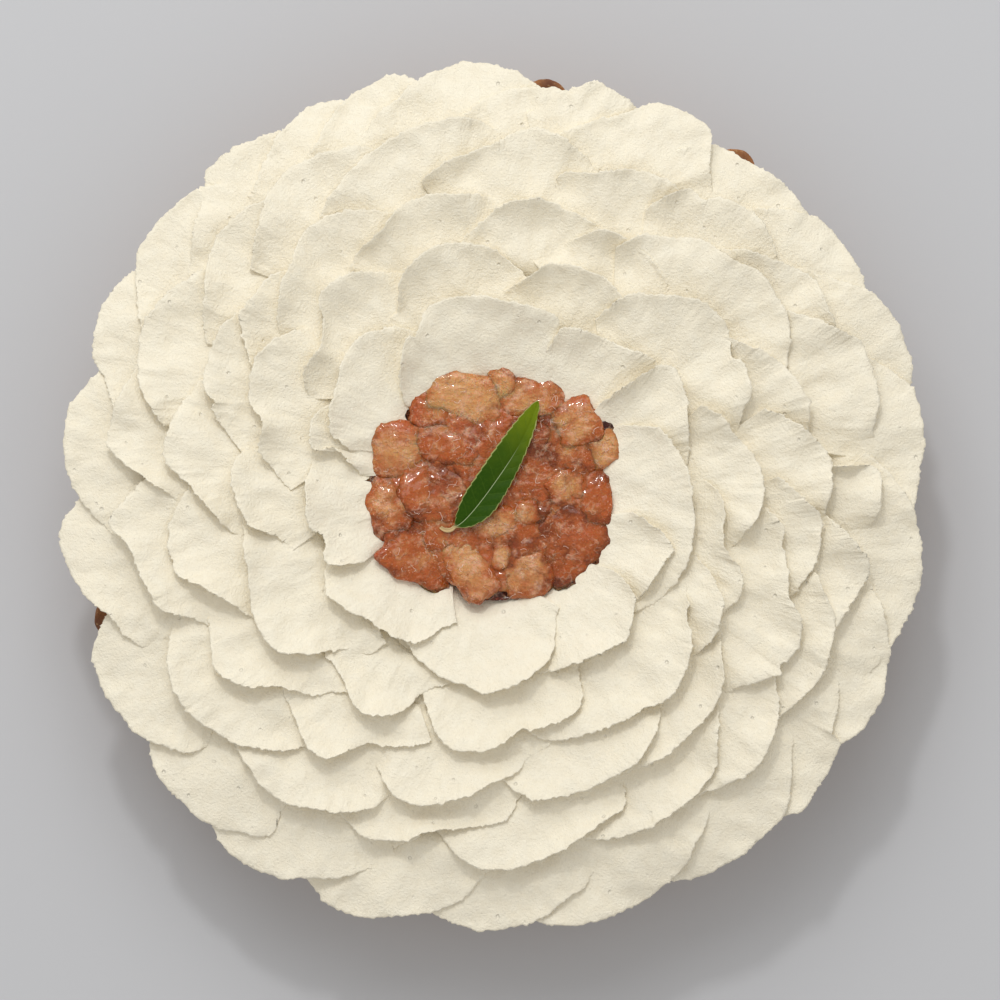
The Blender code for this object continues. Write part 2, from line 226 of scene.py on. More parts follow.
def turned(name, section, steps):
    """A mesh from a section of radius and height in millimetres, turned round Z."""
    middle = [(r, z) for r, z in section if r > 0.0]
    points = [(0.0, 0.0, section[0][1] * 0.001)]
    for radius, height in middle:
        for step in range(steps):
            angle = 2.0 * math.pi * step / steps
            x = radius * math.sin(angle)
            y = radius * math.cos(angle)
            points.append((x * 0.001, y * 0.001, height * 0.001))
    points.append((0.0, 0.0, section[-1][1] * 0.001))
    faces = []
    for step in range(steps):
        after = (step + 1) % steps
        faces.append((0, 1 + step, 1 + after))
        for row in range(len(middle) - 1):
            low = 1 + row * steps
            high = low + steps
            faces.append((low + step, high + step, high + after, low + after))
        top = 1 + (len(middle) - 1) * steps
        faces.append((top + step, len(points) - 1, top + after))
    mesh = bpy.data.meshes.new(name)
    mesh.from_pydata(points, [], faces)
    mesh.update()
    return mesh


def new_material(name):
    """An empty material, and the first wire of its tree."""
    material = bpy.data.materials.new(name)
    material.use_nodes = True
    material.node_tree.nodes.clear()
    return material, Wire(material.node_tree)


def mixed(share, low, high):
    """A colour between two."""
    return share.node("ShaderNodeMix", {"data_type": "RGBA"}, {0: share, 6: low, 7: high}, 2)


def bumped(height, distance, strength=1.0):
    values = {"Height": height, "Distance": distance, "Strength": strength}
    return height.node("ShaderNodeBump", {}, values)


def end_material(start, values):
    """The Principled shader with its values and links, and the material's output."""
    shader = start.node("ShaderNodeBsdfPrincipled", {}, values)
    start.node("ShaderNodeOutputMaterial", {}, {"Surface": shader})


crust_tree, crust_in = new_tree("pressed_flutes", CRUST_SIZES)
x, y, z = parts_of(crust_in["Guide"].node("GeometryNodeInputPosition", {}, {}))
radius = (x * x + y * y) ** 0.5 * 1000.0
bearing = bearing_of(x, y)
height = z * 1000.0 / crust_in["Height"]
wave = (bearing - crust_in["First flute"]) * crust_in["Flutes"] * (math.pi / 360.0)
pressed = 1.0 - abs(cosine(wave))
depth = crust_in["Depth at base"] + (crust_in["Depth at rim"] - crust_in["Depth at base"]) * height
push = -(pressed * depth)
for middle, reach in CRUST_BULGES:
    apart = ((bearing - middle + 180.0) % 360.0 - 180.0) / CRUST_BULGE_WIDTH
    push = push + height * reach * apart.math("EXPONENT", -(apart * apart))
place = point(x * 1000.0, y * 1000.0, z * 1000.0)
crumb = noise(place, 0.16, 3.0) * crust_in["Unevenness"] + noise(place, 0.9, 3.0, 0.6) * crust_in["Crumb"]
outside = ramp_up(radius, 92.0, 101.0)
radius = radius + outside * (push + crumb)
raised = ramp_up(height, 0.75, 1.0) * outside
height = z * 1000.0 - raised * (0.5 + abs(noise(place, 0.22, 2.0)) * crust_in["Ragged rim"])
turn = bearing * (math.pi / 180.0)
place = point(radius * sine(turn) * 0.001, radius * cosine(turn) * 0.001, height * 0.001)
values = {"Geometry": crust_in["Guide"], "Position": place}
end_tree(crust_in, place.node("GeometryNodeSetPosition", {}, values))

baked_crust, start = new_material("baked_crust")
place = start.node("ShaderNodeTexCoord", {}, {}, "Object")
x, y, z = parts_of(place)
wave = (bearing_of(x, y) - CRUST_SIZES["First flute"]) * (CRUST_SIZES["Flutes"] * math.pi / 360.0)
ridge = abs(cosine(wave))
browned = ramp_up(z, 0.012, 0.031) * 0.6 + ridge ** 4.0 * 0.35 + noise(place, 90.0, 4.0) * 0.8
golden = mixed(ramp_up(browned, -0.1, 0.45), CRUST_GOLDEN, CRUST_BROWN)
toasted = mixed(ramp_up(browned, 0.45, 1.1), golden, CRUST_TOASTED)
speck = ramp_up(noise(place, 900.0, 2.0), 0.1, 0.25)
speckled = mixed(speck * 0.5, toasted, CRUST_SPECKS)
grain = noise(place, 700.0, 5.0, 0.65) + noise(place, 160.0, 3.0) * 2.0
end_material(start, {
    "Base Color": speckled,
    "Roughness": 0.62 + noise(place, 300.0) * 0.3,
    "Subsurface Weight": 0.08,
    "Subsurface Radius": (1.0, 0.5, 0.2),
    "Subsurface Scale": 0.0012,
    "Specular IOR Level": 0.4,
    "Normal": bumped(grain, 0.0006, 0.8),
})

crust = made_by(
    crust_tree,
    "tart_crust",
    turned("tart_crust", rounded(CRUST_SECTION_MM, CRUST_ROUNDING), CRUST_STEPS_ROUND),
    CRUST_SIZES,
    baked_crust,
)
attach(crust, "root")
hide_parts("crust")


# ---------------------------------------------------------------- Cream base
# The layer of whipped cream, spread over the filling, that the petals are piped on. Its
# middle is a bowl. It shows only between petals and under the outermost ones.

CREAM_BASE_MM = (
    (0.0, 30.3), (104.0, 30.3), (106.0, 31.0), (104.5, 34.0), (94.0, 38.2), (78.0, 41.6),
    (62.0, 43.6), (46.0, 43.8), (38.0, 41.6), (30.0, 39.6), (25.2, 36.0), (22.4, 30.5),
    (0.0, 30.4),
)
CREAM_BASE_ROUNDING = 2
CREAM_BASE_STEPS_ROUND = 240
# Two tones of cream: the first, yellower and darker, is painted shade, the second painted light.
CREAM_PAINTED_SHADE = (0.88, 0.80, 0.63, 1.0)
CREAM_PAINTED_LIGHT = (0.90, 0.83, 0.67, 1.0)

whipped_cream, start = new_material("whipped_cream")
place = start.node("ShaderNodeTexCoord", {}, {}, "Object")
lay = start.node("ShaderNodeAttribute", {"attribute_name": "lay"}, {}, "Vector")
run, radius, _ = parts_of(lay)
streaks = noise(point(run * 0.9, radius * 0.12, 0.5), 1.0, 4.0, 0.62)
pores = noise(place, 1500.0, 3.0, 0.7)
lumps = noise(place, 330.0, 3.0, 0.6)
values = {"Vector": place, "Scale": 210.0}
bubble = place.node("ShaderNodeTexVoronoi", {"feature": "F1"}, values, "Distance")
bubble = (1.0 - ramp_up(bubble, 0.04, 0.14)) * ramp_up(lumps, -0.05, 0.1)
# The base colour follows the bump's lumps: painted shade in their hollows and painted light on their
# rises.
end_material(start, {
    "Base Color": mixed(ramp_up(lumps, -0.2, 0.2), CREAM_PAINTED_SHADE, CREAM_PAINTED_LIGHT),
    "Roughness": 0.55 + pores * 0.25,
    "Specular IOR Level": 0.35,
    "Normal": bumped(streaks * 0.12 + pores * 0.9 + lumps * 0.7 - bubble * 0.9, 0.0005, 0.9),
})

base = turned("cream_base", rounded(CREAM_BASE_MM, CREAM_BASE_ROUNDING), CREAM_BASE_STEPS_ROUND)
base.materials.append(whipped_cream)
for face in base.polygons:
    face.use_smooth = True
cream_base = bpy.data.objects.new("cream_base", base)
bpy.context.scene.collection.objects.link(cream_base)
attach(cream_base, "root")
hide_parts("whipped_cream")


# ---------------------------------------------------------------- Cream petals
# Petals of whipped cream, piped with a flat nozzle in five rings from the rim inwards.
# Each opens from its root to a thin, torn lip that curls up. It lies over the petal before
# it, clockwise, and over the ring outside it, and its drag leaves folds and grain.

PETAL_BLANK = {"Vertices": 24, "Side Segments": 155, "Radius": 1.0, "Depth": 2.0}
PETAL_UNDERSIDE = 0.22
PETAL_RUFFLES = (1.5, 2.0, 2.5)
PETAL_RAISED_TILT = 0.2
PETAL_SIZES = {
    "Root width": 0.7,
    "Root inset": 3.0,
    "Crown": 45.6,
    "Crown radius": 54.0,
    "Fall": 0.0031,
    "Dip": 0.0039,
    "Step": 2.3,
    "Curl": 4.4,
    "Tilt": 1.1,
    "Ruffle": 1.0,
    "Fold": 3.0,
    "Crease": 0.2,
    "Lumps": 1.5,
    "Tear": 3.0,
    "Teeth": 2.0,
    "Lip thickness": 1.7,
    "Body": 9.0,
    "Floor": 30.8,
}
# For each petal how far it is raised, then bearing and radius of points along its lip.
PETAL_RINGS = (
    {
        "name": "petals_ring_1",
        "sizes": {
            "Root radius": 25.0, "Reach": 53.0, "Curl": 4.0, "Body": 12.0, "Fold": 1.6,
            "Crease": 0.0,
        },
        "lips": (
            (2.0, ((316, 34.0), (330, 47.1), (334, 47.3), (340, 52.4), (345, 53.5), (352, 53.7),
                (366, 51.3), (372, 51.6), (378, 50.8), (382, 47.3), (390, 34.6))),
            (0.0, ((20, 39.9), (22, 47.3), (26, 49.5), (37, 51.6), (47, 55.3), (52, 55.9), (56, 53.2))),
            (0.0, ((49, 37.2), (51, 53.2), (52.5, 57.5), (55, 58.8), (64, 57.2), (79, 52.7), (84, 50.5))),
            (0.0, ((60, 37.2), (65, 44.7), (70, 48.9), (84, 52.1), (106, 54.3), (112, 54.0), (118, 53.2),
                (124, 51.1), (130, 47.9))),
            (0.0, ((96, 37.2), (101, 44.7), (105, 49.2), (107, 50.0), (111, 48.7), (126, 46.8),
                (131, 45.2))),
            (0.0, ((121, 37.2), (124, 44.7), (127, 47.3), (134, 50.5), (138, 51.3), (148, 49.7),
                (167, 48.1), (173, 45.8))),
            (0.0, ((149, 34.0), (156, 40.4), (158, 43.6), (163, 46.6), (181, 52.1), (185, 51.9),
                (189, 50.3), (201, 48.4), (207, 46.3), (213, 42.6))),
            (0.0, ((196, 34.6), (201, 37.0), (208, 43.4), (221, 46.3), (225, 46.0), (238, 50.5),
                (242, 50.3), (256, 43.9))),
            (0.0, ((243, 37.2), (246, 43.9), (249, 46.8), (257, 46.0), (263, 49.7), (283, 48.7),
                (288, 45.8))),
            (0.0, ((279, 34.6), (287, 43.4), (285, 47.3), (286, 50.0), (294, 51.9), (302, 48.7),
                (306, 45.2))),
            (0.0, ((288, 39.9), (291, 45.2), (296, 48.1), (305, 50.5), (313, 54.3), (318, 55.3),
                (322, 55.1), (326, 53.5), (330, 51.6), (335, 47.9))),
        ),
    },
    {
        "name": "petals_ring_2",
        "sizes": {"Root radius": 45.0, "Reach": 70.0},
        "lips": (
            (0.0, ((359, 50.5), (363, 54.5), (370, 59.6), (372, 62.5), (376, 64.1), (381, 64.9),
                (391, 63.8), (403, 56.9), (407, 53.2))),
            (0.0, ((30, 54.5), (33, 62.5), (36, 66.5), (44, 73.4), (47, 75.5), (50, 76.6), (54, 76.6),
                (59.5, 73.7), (62, 75.5), (68, 73.7), (71, 70.2), (82, 63.3))),
            (0.0, ((66, 59.9), (71, 64.4), (76, 66.5), (82, 70.2), (85, 71.3), (90, 71.6), (93, 71.0),
                (96, 69.4), (106, 61.2))),
            (0.0, ((84, 54.5), (89, 60.1), (99, 61.7), (102, 62.8), (104.5, 65.4), (106, 68.4),
                (112, 70.5), (118, 67.6), (122, 64.4))),
            (0.0, ((106, 55.9), (113, 66.0), (116, 67.8), (123, 69.2), (130, 67.3), (133, 64.6))),
            (0.0, ((112, 54.5), (118, 58.8), (122, 60.6), (127, 66.0), (133, 69.2), (140, 70.8),
                (146, 68.6), (163, 67.3), (168, 65.7), (173, 61.2))),
            (0.0, ((152, 47.9), (154.5, 52.7), (155, 56.1), (160, 61.4), (170, 62.5), (173, 62.0),
                (178, 65.7), (186, 68.1), (190, 67.0), (193, 64.6), (202, 53.2))),
            (0.0, ((186, 47.9), (197, 52.7), (200, 55.9), (203, 61.4), (209, 66.0), (212, 66.8),
                (215, 65.7), (221, 62.0), (229, 60.1), (233, 56.4))),
            (0.0, ((216, 47.9), (218.5, 52.9), (225, 57.2), (233, 68.9), (235, 70.5), (238, 71.0),
                (243, 70.5), (253, 67.8), (267, 66.5), (272, 62.5))),
            (0.0, ((255, 54.5), (260, 59.1), (262, 63.3), (265, 66.0), (274, 69.4), (277, 69.2),
                (280, 67.8), (287, 62.8))),
            (0.0, ((272, 53.2), (279, 61.2), (282, 62.8), (288, 64.1), (292, 69.4), (299, 72.4),
                (303, 72.1), (311, 68.6), (319, 62.8))),
            (0.0, ((298, 54.5), (303, 59.6), (311, 60.6), (316.5, 65.7), (318, 68.6), (320, 70.5),
                (323, 71.3), (327, 70.5), (331, 68.4), (344, 59.1))),
            (0.0, ((326, 50.5), (330, 54.8), (333, 55.9), (338, 63.3), (344, 67.0), (348, 67.8),
                (352, 67.8), (360, 65.4), (373, 55.9))),
        ),
    },
    {
        "name": "petals_ring_3",
        "sizes": {"Root radius": 58.0, "Reach": 85.0},
        "lips": (
            (0.0, ((353, 67.8), (356, 71.8), (363, 77.7), (366, 79.3), (370, 80.1), (378, 78.2),
                (382, 76.3), (387, 72.4))),
            (0.0, ((10, 63.3), (21, 75.3), (29, 76.6), (37, 74.7), (41, 71.3), (46, 65.2))),
            (0.0, ((26, 73.2), (30, 80.1), (36, 84.6), (40, 88.6), (44, 89.4), (50, 92.6), (54, 92.8),
                (58, 92.0), (61, 90.2), (64, 88.0), (71, 78.5))),
            (0.0, ((54, 73.2), (61, 80.6), (69, 86.5), (75, 87.0), (78, 85.7), (82, 82.5))),
            (0.0, ((72, 75.8), (77, 83.8), (80, 87.5), (83, 89.9), (86, 90.2), (95, 87.5), (99, 84.6))),
            (0.0, ((86, 75.8), (93, 86.7), (96, 87.8), (100, 87.8), (103, 87.0), (108, 83.8),
                (112, 79.8))),
            (0.0, ((92, 71.8), (96, 77.4), (100, 78.2), (107, 81.9), (109.5, 84.1), (111, 87.0),
                (113, 89.1), (116, 90.4), (120.5, 88.0), (121.5, 89.9), (124, 86.7), (134, 77.1))),
            (0.0, ((114, 66.5), (123, 72.1), (128, 77.9), (131, 80.1), (135, 81.1), (144, 83.0),
                (148, 83.0), (156, 80.6), (161, 77.1))),
            (0.0, ((138, 67.8), (146, 76.3), (149, 78.5), (152, 80.1), (160, 81.4), (169, 81.4),
                (173, 80.1), (183, 71.3))),
            (0.0, ((162, 63.8), (172, 70.2), (175, 73.2), (180, 75.5), (189, 82.2), (198, 83.3),
                (209, 69.7))),
            (0.0, ((194, 66.5), (200, 70.5), (207, 73.4), (212, 81.7), (215, 82.5), (218, 81.4),
                (232, 72.4))),
            (0.0, ((214, 62.5), (219.5, 67.3), (222, 71.0), (228, 75.5), (230, 77.9), (232, 82.2),
                (237, 86.2), (240, 85.9), (243, 84.3), (247, 81.7), (252, 77.1))),
            (0.0, ((234, 65.2), (249, 75.5), (256, 85.7), (259, 86.7), (262, 87.0), (268, 84.3),
                (275, 77.7))),
            (0.0, ((261, 67.8), (272, 80.3), (275.5, 86.5), (278, 87.8), (282, 87.8), (288, 85.4),
                (292, 83.3), (297, 79.3))),
            (0.0, ((280, 67.8), (287, 77.4), (289, 78.2), (290, 80.9), (292, 82.7), (295, 83.8),
                (299, 84.9), (303, 84.6), (307, 83.0), (312, 79.3))),
            (0.0, ((298, 71.8), (305, 81.7), (308, 82.7), (316, 82.5), (324, 76.6))),
            (0.0, ((303, 66.5), (314, 78.7), (318, 80.9), (323, 85.7), (326, 86.5), (330, 86.2),
                (334, 84.6), (346, 76.1))),
            (0.0, ((326, 69.7), (331, 73.9), (335, 75.0), (338, 76.9), (343, 81.7), (347, 81.9),
                (361, 79.3), (366, 76.6))),
        ),
    },
    {
        "name": "petals_ring_4",
        "sizes": {"Root radius": 71.0, "Reach": 100.7},
        "lips": (
            (0.0, ((347, 85.7), (351, 88.8), (360, 93.6), (363, 96.6), (366, 98.2), (369, 98.2),
                (372, 96.6), (380, 89.1))),
            (0.0, ((8, 77.1), (11, 81.4), (11.5, 86.2), (13, 88.3), (17, 89.4), (22, 93.4), (25, 95.0),
                (29, 95.8), (33, 94.7), (37, 91.8), (42, 86.5))),
            (0.0, ((28, 86.5), (32, 96.6), (35, 96.8), (36.5, 99.0), (39, 101.1), (43, 102.1),
                (46, 101.6), (51, 97.6), (55, 93.1))),
            (0.0, ((40, 84.6), (47, 95.2), (55, 101.9), (58, 102.7), (62, 102.1), (65, 100.3),
                (69, 95.8))),
            (0.0, ((54, 86.5), (66, 105.1), (68, 106.7), (75, 106.4), (81, 102.1), (84, 97.9))),
            (0.0, ((81, 86.5), (83, 90.2), (84.8, 92.0), (85.3, 101.3), (87, 103.5), (90, 103.5),
                (93, 102.4), (98, 96.3))),
            (0.0, ((93, 87.8), (98, 99.0), (100, 101.9), (102, 102.4), (104.5, 100.5), (113, 96.3),
                (117, 91.8))),
            (0.0, ((103, 87.8), (110, 96.3), (116, 99.0), (119, 99.0), (126, 96.6), (129, 94.7),
                (133, 90.4))),
            (0.0, ((121, 86.5), (125, 92.6), (128, 96.0), (131, 98.7), (134, 99.8), (137, 99.8),
                (143, 97.1), (146, 95.2), (150, 90.4))),
            (0.0, ((130, 79.3), (134, 83.0), (140, 92.6), (143, 95.0), (147, 96.3), (158, 96.8),
                (162, 96.0), (165, 94.2), (170, 89.1))),
            (0.0, ((152, 78.5), (155, 81.9), (156, 86.5), (157.5, 89.9), (161, 91.0), (173, 97.6),
                (177, 98.7), (181, 99.2), (184, 97.6), (194, 84.6))),
            (0.0, ((172, 75.8), (175, 80.1), (177, 84.6), (181, 87.2), (190, 89.9), (193, 92.3),
                (195, 95.0), (201, 96.3), (207, 92.8), (211, 88.3))),
            (0.0, ((196, 79.8), (199.5, 84.6), (201, 88.3), (205, 92.0), (211, 96.3), (217, 98.4),
                (225, 95.8), (229, 93.1), (234, 87.8))),
            (0.0, ((213, 79.3), (217, 83.3), (220, 87.8), (226, 94.4), (234, 98.7), (238, 99.5),
                (241, 98.7), (244, 96.3), (250, 90.7), (254, 85.7))),
            (1.0, ((241, 78.5), (245.5, 82.2), (248, 85.9), (250, 90.7), (252, 93.6), (262, 97.6),
                (265.5, 102.1), (268, 100.3), (275, 89.1))),
            (0.0, ((268, 82.5), (271, 87.2), (276.5, 101.1), (279, 103.5), (282, 104.0), (285, 103.2),
                (291, 100.3), (295, 95.8))),
            (0.0, ((282, 89.1), (286, 96.3), (290, 100.5), (293, 102.4), (297, 103.2), (301, 102.1),
                (305, 100.0), (309, 97.1), (314, 91.8))),
            (0.0, ((298, 85.7), (308, 96.8), (311, 99.2), (315, 100.8), (319, 100.8), (322, 99.2),
                (331, 91.8))),
            (0.0, ((313, 87.8), (322, 98.7), (325, 101.3), (328, 102.4), (336, 101.3), (342, 97.6),
                (347, 93.1))),
            (0.0, ((325, 83.0), (332, 91.2), (343, 98.4), (350, 100.8), (354, 101.1), (358, 100.0),
                (367, 93.1))),
        ),
    },
    {
        "name": "petals_ring_5",
        "sizes": {"Root radius": 87.0, "Reach": 115.7, "Lip thickness": 2.0, "Body": 20.0, "Curl": 1.6},
        "lips": (
            (0.0, ((354, 99.8), (358, 105.1), (362, 108.3), (366, 109.9), (370, 110.1), (374, 108.5),
                (379, 103.7))),
            (0.0, ((5, 102.4), (9, 107.2), (13, 113.3), (16, 113.6), (18, 112.3), (21, 110.1),
                (25, 105.1))),
            (1.6, ((9, 96.3), (12, 100.5), (17, 105.3), (21.5, 112.3), (24, 113.8), (28, 114.4),
                (31, 112.8), (34, 103.2), (39, 93.6))),
            (0.0, ((26, 101.1), (30, 107.7), (33, 111.2), (41, 113.8), (45, 113.8), (48, 112.8),
                (52, 109.6), (57, 103.7))),
            (0.0, ((40, 99.8), (44, 106.9), (48, 112.5), (50, 114.1), (54, 114.9), (58, 114.9),
                (61, 114.1), (65, 110.7), (70, 105.1))),
            (0.0, ((53, 101.1), (61, 113.6), (64, 116.2), (67, 117.3), (71, 117.6), (73, 117.0),
                (84, 106.4))),
            (0.0, ((66, 101.1), (74.5, 114.6), (77, 116.2), (84, 115.4), (92, 112.3), (97, 107.7),
                (101, 102.4))),
            (0.0, ((83, 99.8), (88, 107.5), (92, 112.0), (98, 115.7), (102, 116.2), (112, 113.1),
                (117, 108.5), (121, 103.7))),
            (0.0, ((101, 99.8), (106, 107.7), (111, 113.1), (117, 116.8), (120, 117.0), (123, 115.7),
                (131, 109.1), (136, 103.7))),
            (0.0, ((115, 99.0), (119, 105.1), (124.5, 110.1), (126, 113.6), (135, 117.6), (137, 116.0),
                (143, 106.4))),
            (0.0, ((126, 98.4), (135, 111.7), (138, 114.9), (141, 116.5), (149, 115.7), (153, 114.1),
                (157, 111.2), (162, 105.1))),
            (0.0, ((141, 95.8), (147, 104.3), (150, 106.9), (155, 113.1), (167, 116.5), (171, 115.4),
                (174, 113.3), (183, 103.2))),
            (0.0, ((161, 91.8), (164, 96.8), (164.4, 102.1), (167, 106.4), (174, 113.6), (178, 115.4),
                (182, 115.7), (186, 113.6), (190, 110.4), (195, 104.3))),
            (0.0, ((176, 93.1), (180, 98.7), (184, 106.9), (187, 110.4), (190, 113.1), (197, 117.0),
                (201, 117.3), (204, 115.4), (207, 112.8), (211, 106.9))),
            (0.0, ((192, 91.8), (195.5, 96.3), (196, 100.5), (202, 109.1), (209, 116.0), (213, 117.8),
                (217, 118.1), (220, 116.2), (223, 113.1), (228, 106.4))),
            (0.0, ((210, 92.6), (213.5, 97.4), (213.7, 102.1), (213.2, 106.4), (215, 110.4),
                (221, 115.4), (225, 116.2), (230, 116.0), (233, 114.4), (241, 105.1))),
            (0.0, ((226, 92.6), (229.5, 97.1), (229, 101.1), (230, 105.6), (235, 112.8), (239, 114.9),
                (243, 116.0), (247, 115.4), (250, 113.1), (258, 99.8))),
            (0.0, ((242, 91.0), (245.7, 95.2), (246.5, 100.5), (249, 104.0), (252, 106.4), (257, 112.3),
                (263, 116.0), (266, 115.4), (268, 113.3), (274, 103.7))),
            (0.0, ((258, 94.4), (263, 99.8), (272, 112.8), (276, 114.9), (281, 115.4), (284, 113.6),
                (295, 102.4))),
            (0.0, ((278, 97.9), (286, 106.9), (288.5, 111.5), (291, 114.1), (294, 115.7), (298, 115.7),
                (301, 113.8), (309, 105.1))),
            (0.0, ((293, 99.8), (302, 112.5), (306, 115.4), (314, 114.9), (317, 112.8), (326, 103.2))),
            (0.0, ((306, 100.5), (316.5, 112.0), (318.5, 115.4), (326, 114.9), (330, 112.8),
                (338, 103.7))),
            (0.0, ((320, 101.1), (325, 107.7), (333, 114.4), (336, 114.4), (339, 113.1), (348, 103.7))),
            (0.0, ((328, 99.0), (339, 112.3), (345, 115.7), (348, 114.9), (355, 106.4))),
            (0.0, ((336, 97.1), (343, 106.1), (347, 109.6), (350, 113.3), (353, 115.2), (358, 116.0),
                (361, 114.6), (364, 112.8), (370, 105.1))),
        ),
    },
)


def lower_of(one, other):
    return one.math("MINIMUM", one, other)


def higher_of(one, other):
    return one.math("MAXIMUM", one, other)


def thin_line(value, width):
    """1 along the line where a value is 0, and 0 from a width away."""
    return higher_of(width - abs(value), 0.0) / width


def attribute(start, name, data_type="FLOAT"):
    settings = {"data_type": data_type}
    return start.node("GeometryNodeInputNamedAttribute", settings, {"Name": name})


def stored(shape, name, value, data_type):
    settings = {"data_type": data_type, "domain": "POINT"}
    values = {"Geometry": shape, "Name": name, "Value": value}
    return shape.node("GeometryNodeStoreNamedAttribute", settings, values)


petal_tree, petal = new_tree("piped_petals", ("Root radius", "Reach", *PETAL_SIZES))
start = petal["Guide"]
blank = start.node("GeometryNodeMeshCylinder", {"fill_type": "NGON"}, PETAL_BLANK, "Mesh")
blank = stored(blank, "cell", start.node("GeometryNodeInputPosition", {}, {}), "FLOAT_VECTOR")
values = {"Points": petal["Guide"], "Selection": attribute(start, "first"), "Instance": blank}
petals = start.node("GeometryNodeInstanceOnPoints", {}, values)
petals = start.node("GeometryNodeRealizeInstances", {}, {"Geometry": petals})

# Round the section, from the root under the petal to its lip and back over its top.
cell_x, cell_y, across = parts_of(attribute(start, "cell", "FLOAT_VECTOR"))
round_it = (across.math("ARCTAN2", cell_y, cell_x) / (2.0 * math.pi) + 0.5) % 1.0
below = lower_of(round_it / PETAL_UNDERSIDE, 1.0) - 1.0
above = higher_of((round_it - PETAL_UNDERSIDE) / (1.0 - PETAL_UNDERSIDE), 0.0)
swing = (below + above) * math.pi
along = cosine(swing) * 0.5 + 0.5
side = sine(swing)
side = side.math("SIGN", side) * abs(side) ** 0.5

# The lip's line, read from the guide: coarse bites and fine teeth tear it.
lips = start.node("GeometryNodeMeshToCurve", {}, {"Mesh": petal["Guide"]})
lips = start.node("GeometryNodeCurveSplineType", {"spline_type": "CATMULL_ROM"}, {"Curve": lips})
share = across * 0.5 + 0.5
values = {"Curves": lips, "Factor": share, "Curve Index": attribute(start, "number")}
settings = {"mode": "FACTOR", "use_all_curves": False}
lip = start.node("GeometryNodeSampleCurve", settings, values, "Position")
lip_bearing, lip_radius, raised = parts_of(lip)
seed = attribute(start, "seed")
run = share * attribute(start, "length")
bites = noise(point(run * 0.13, seed * 7.3, 0.5), 1.0, 2.0) * petal["Tear"]
teeth = abs(noise(point(run * 0.5, seed * 3.1, 0.5), 1.0, 3.0, 0.7)) * petal["Teeth"] * 2.0
nicks = noise(point(run * 0.6, seed * 3.1, 7.5), 1.0, 2.0, 0.7) * petal["Teeth"]
torn = along ** 6.0
root_radius = lower_of(petal["Root radius"], attribute(start, "foot") - petal["Root inset"])
middle = (attribute(start, "from") + attribute(start, "to")) * 0.5
root_bearing = middle + (attribute(start, "to") - middle) * across * petal["Root width"]
radius = root_radius + (lip_radius - root_radius) * along + (bites + teeth) * torn
aside = nicks * torn / radius * (180.0 / math.pi)
bearing = root_bearing + (lip_bearing - root_bearing) * along + aside
turn = bearing * (math.pi / 180.0)

# Height: the dome of the whole tart, the step to the next ring and the lip's curl.
level = (radius - petal["Root radius"]) / (petal["Reach"] - petal["Root radius"])
outward = higher_of(radius - petal["Crown radius"], 0.0)
inward = higher_of(petal["Crown radius"] - radius, 0.0)
height = petal["Crown"] - petal["Fall"] * outward * outward - petal["Dip"] * inward * inward
height = height + petal["Step"] * level + raised * ramp_up(level, 0.0, 0.7)
curled = ramp_up(level, 0.3, 0.8) * (1.0 - 0.9 * ramp_up(across, 0.35, 0.85))
height = height + petal["Curl"] * along ** 3.6 * curled
tilted = 0.5 + 0.5 * ramp_up(level, 0.35, 0.8)
height = height - attribute(start, "tilt") * petal["Tilt"] * across * tilted

# Relief, the same for a petal and what it lies on, as it sags onto that: folds and creases
# that run outwards, and lumps. Only the ruffles along the lip are the petal's own.
x = sine(turn)
y = cosine(turn)
wide = 4.0 + radius * 0.03
folds = noise(point(x * wide, y * wide, radius * 0.05), 1.0, 1.0)
crease = noise(point(x * wide, y * wide, radius * 0.05 + 40.0), 1.0, 1.0)
crease = thin_line(crease, 0.08)
spot = point(x * radius, y * radius, 0.5)
lumps = noise(spot, 0.26, 2.0, 0.55) * 0.8 + noise(spot, 0.09, 1.0) * 2.4
ruffle = sine(across * attribute(start, "waves") * math.pi + attribute(start, "phase"))
height = height + petal["Fold"] * folds + petal["Crease"] * crease + petal["Lumps"] * lumps
height = height + petal["Ruffle"] * along ** 3.0 * ruffle
thick = petal["Lip thickness"] + petal["Body"] * higher_of(1.0 - along, 0.0) ** 1.3
height = height - thick * (1.0 - side) * 0.5
height = higher_of(height, petal["Floor"])

petals = stored(petals, "lay", point(run, radius, along), "FLOAT_VECTOR")
place = point(radius * x * 0.001, radius * y * 0.001, height * 0.001)
petals = start.node("GeometryNodeSetPosition", {}, {"Geometry": petals, "Position": place})
end_tree(petal, petals)


def petal_guide(ring, chance):
    """The lips of a ring as lines of bearing and radius, with each petal's own values.

    A petal that is raised, because it hides its neighbours' ends, is also tilted less.
    """
    points = []
    edges = []
    names = ("first", "number", "seed", "length", "foot", "from", "to", "tilt", "waves", "phase")
    columns = {name: [] for name in names}
    for number, (raised, lip) in enumerate(ring["lips"]):
        length = 0.0
        for (bearing0, radius0), (bearing1, radius1) in zip(lip, lip[1:]):
            sweep = math.radians(bearing1 - bearing0) * 0.5 * (radius0 + radius1)
            length += math.hypot(sweep, radius1 - radius0)
        waves = chance.choice(PETAL_RUFFLES)
        phase = chance.uniform(0.0, 2.0 * math.pi)
        for step, (bearing, radius) in enumerate(lip):
            if step:
                edges.append((len(points) - 1, len(points)))
            points.append((bearing, radius, raised))
            own = (
                float(step == 0), number, number * 1.7 + lip[0][1], length, lip[0][1],
                lip[0][0], lip[-1][0], PETAL_RAISED_TILT if raised else 1.0, waves, phase,
            )
            for name, value in zip(names, own):
                columns[name].append(value)
    guide = bpy.data.meshes.new(ring["name"])
    guide.from_pydata(points, edges, [])
    for name, column in columns.items():
        guide.attributes.new(name, "FLOAT", "POINT").data.foreach_set("value", column)
    return guide


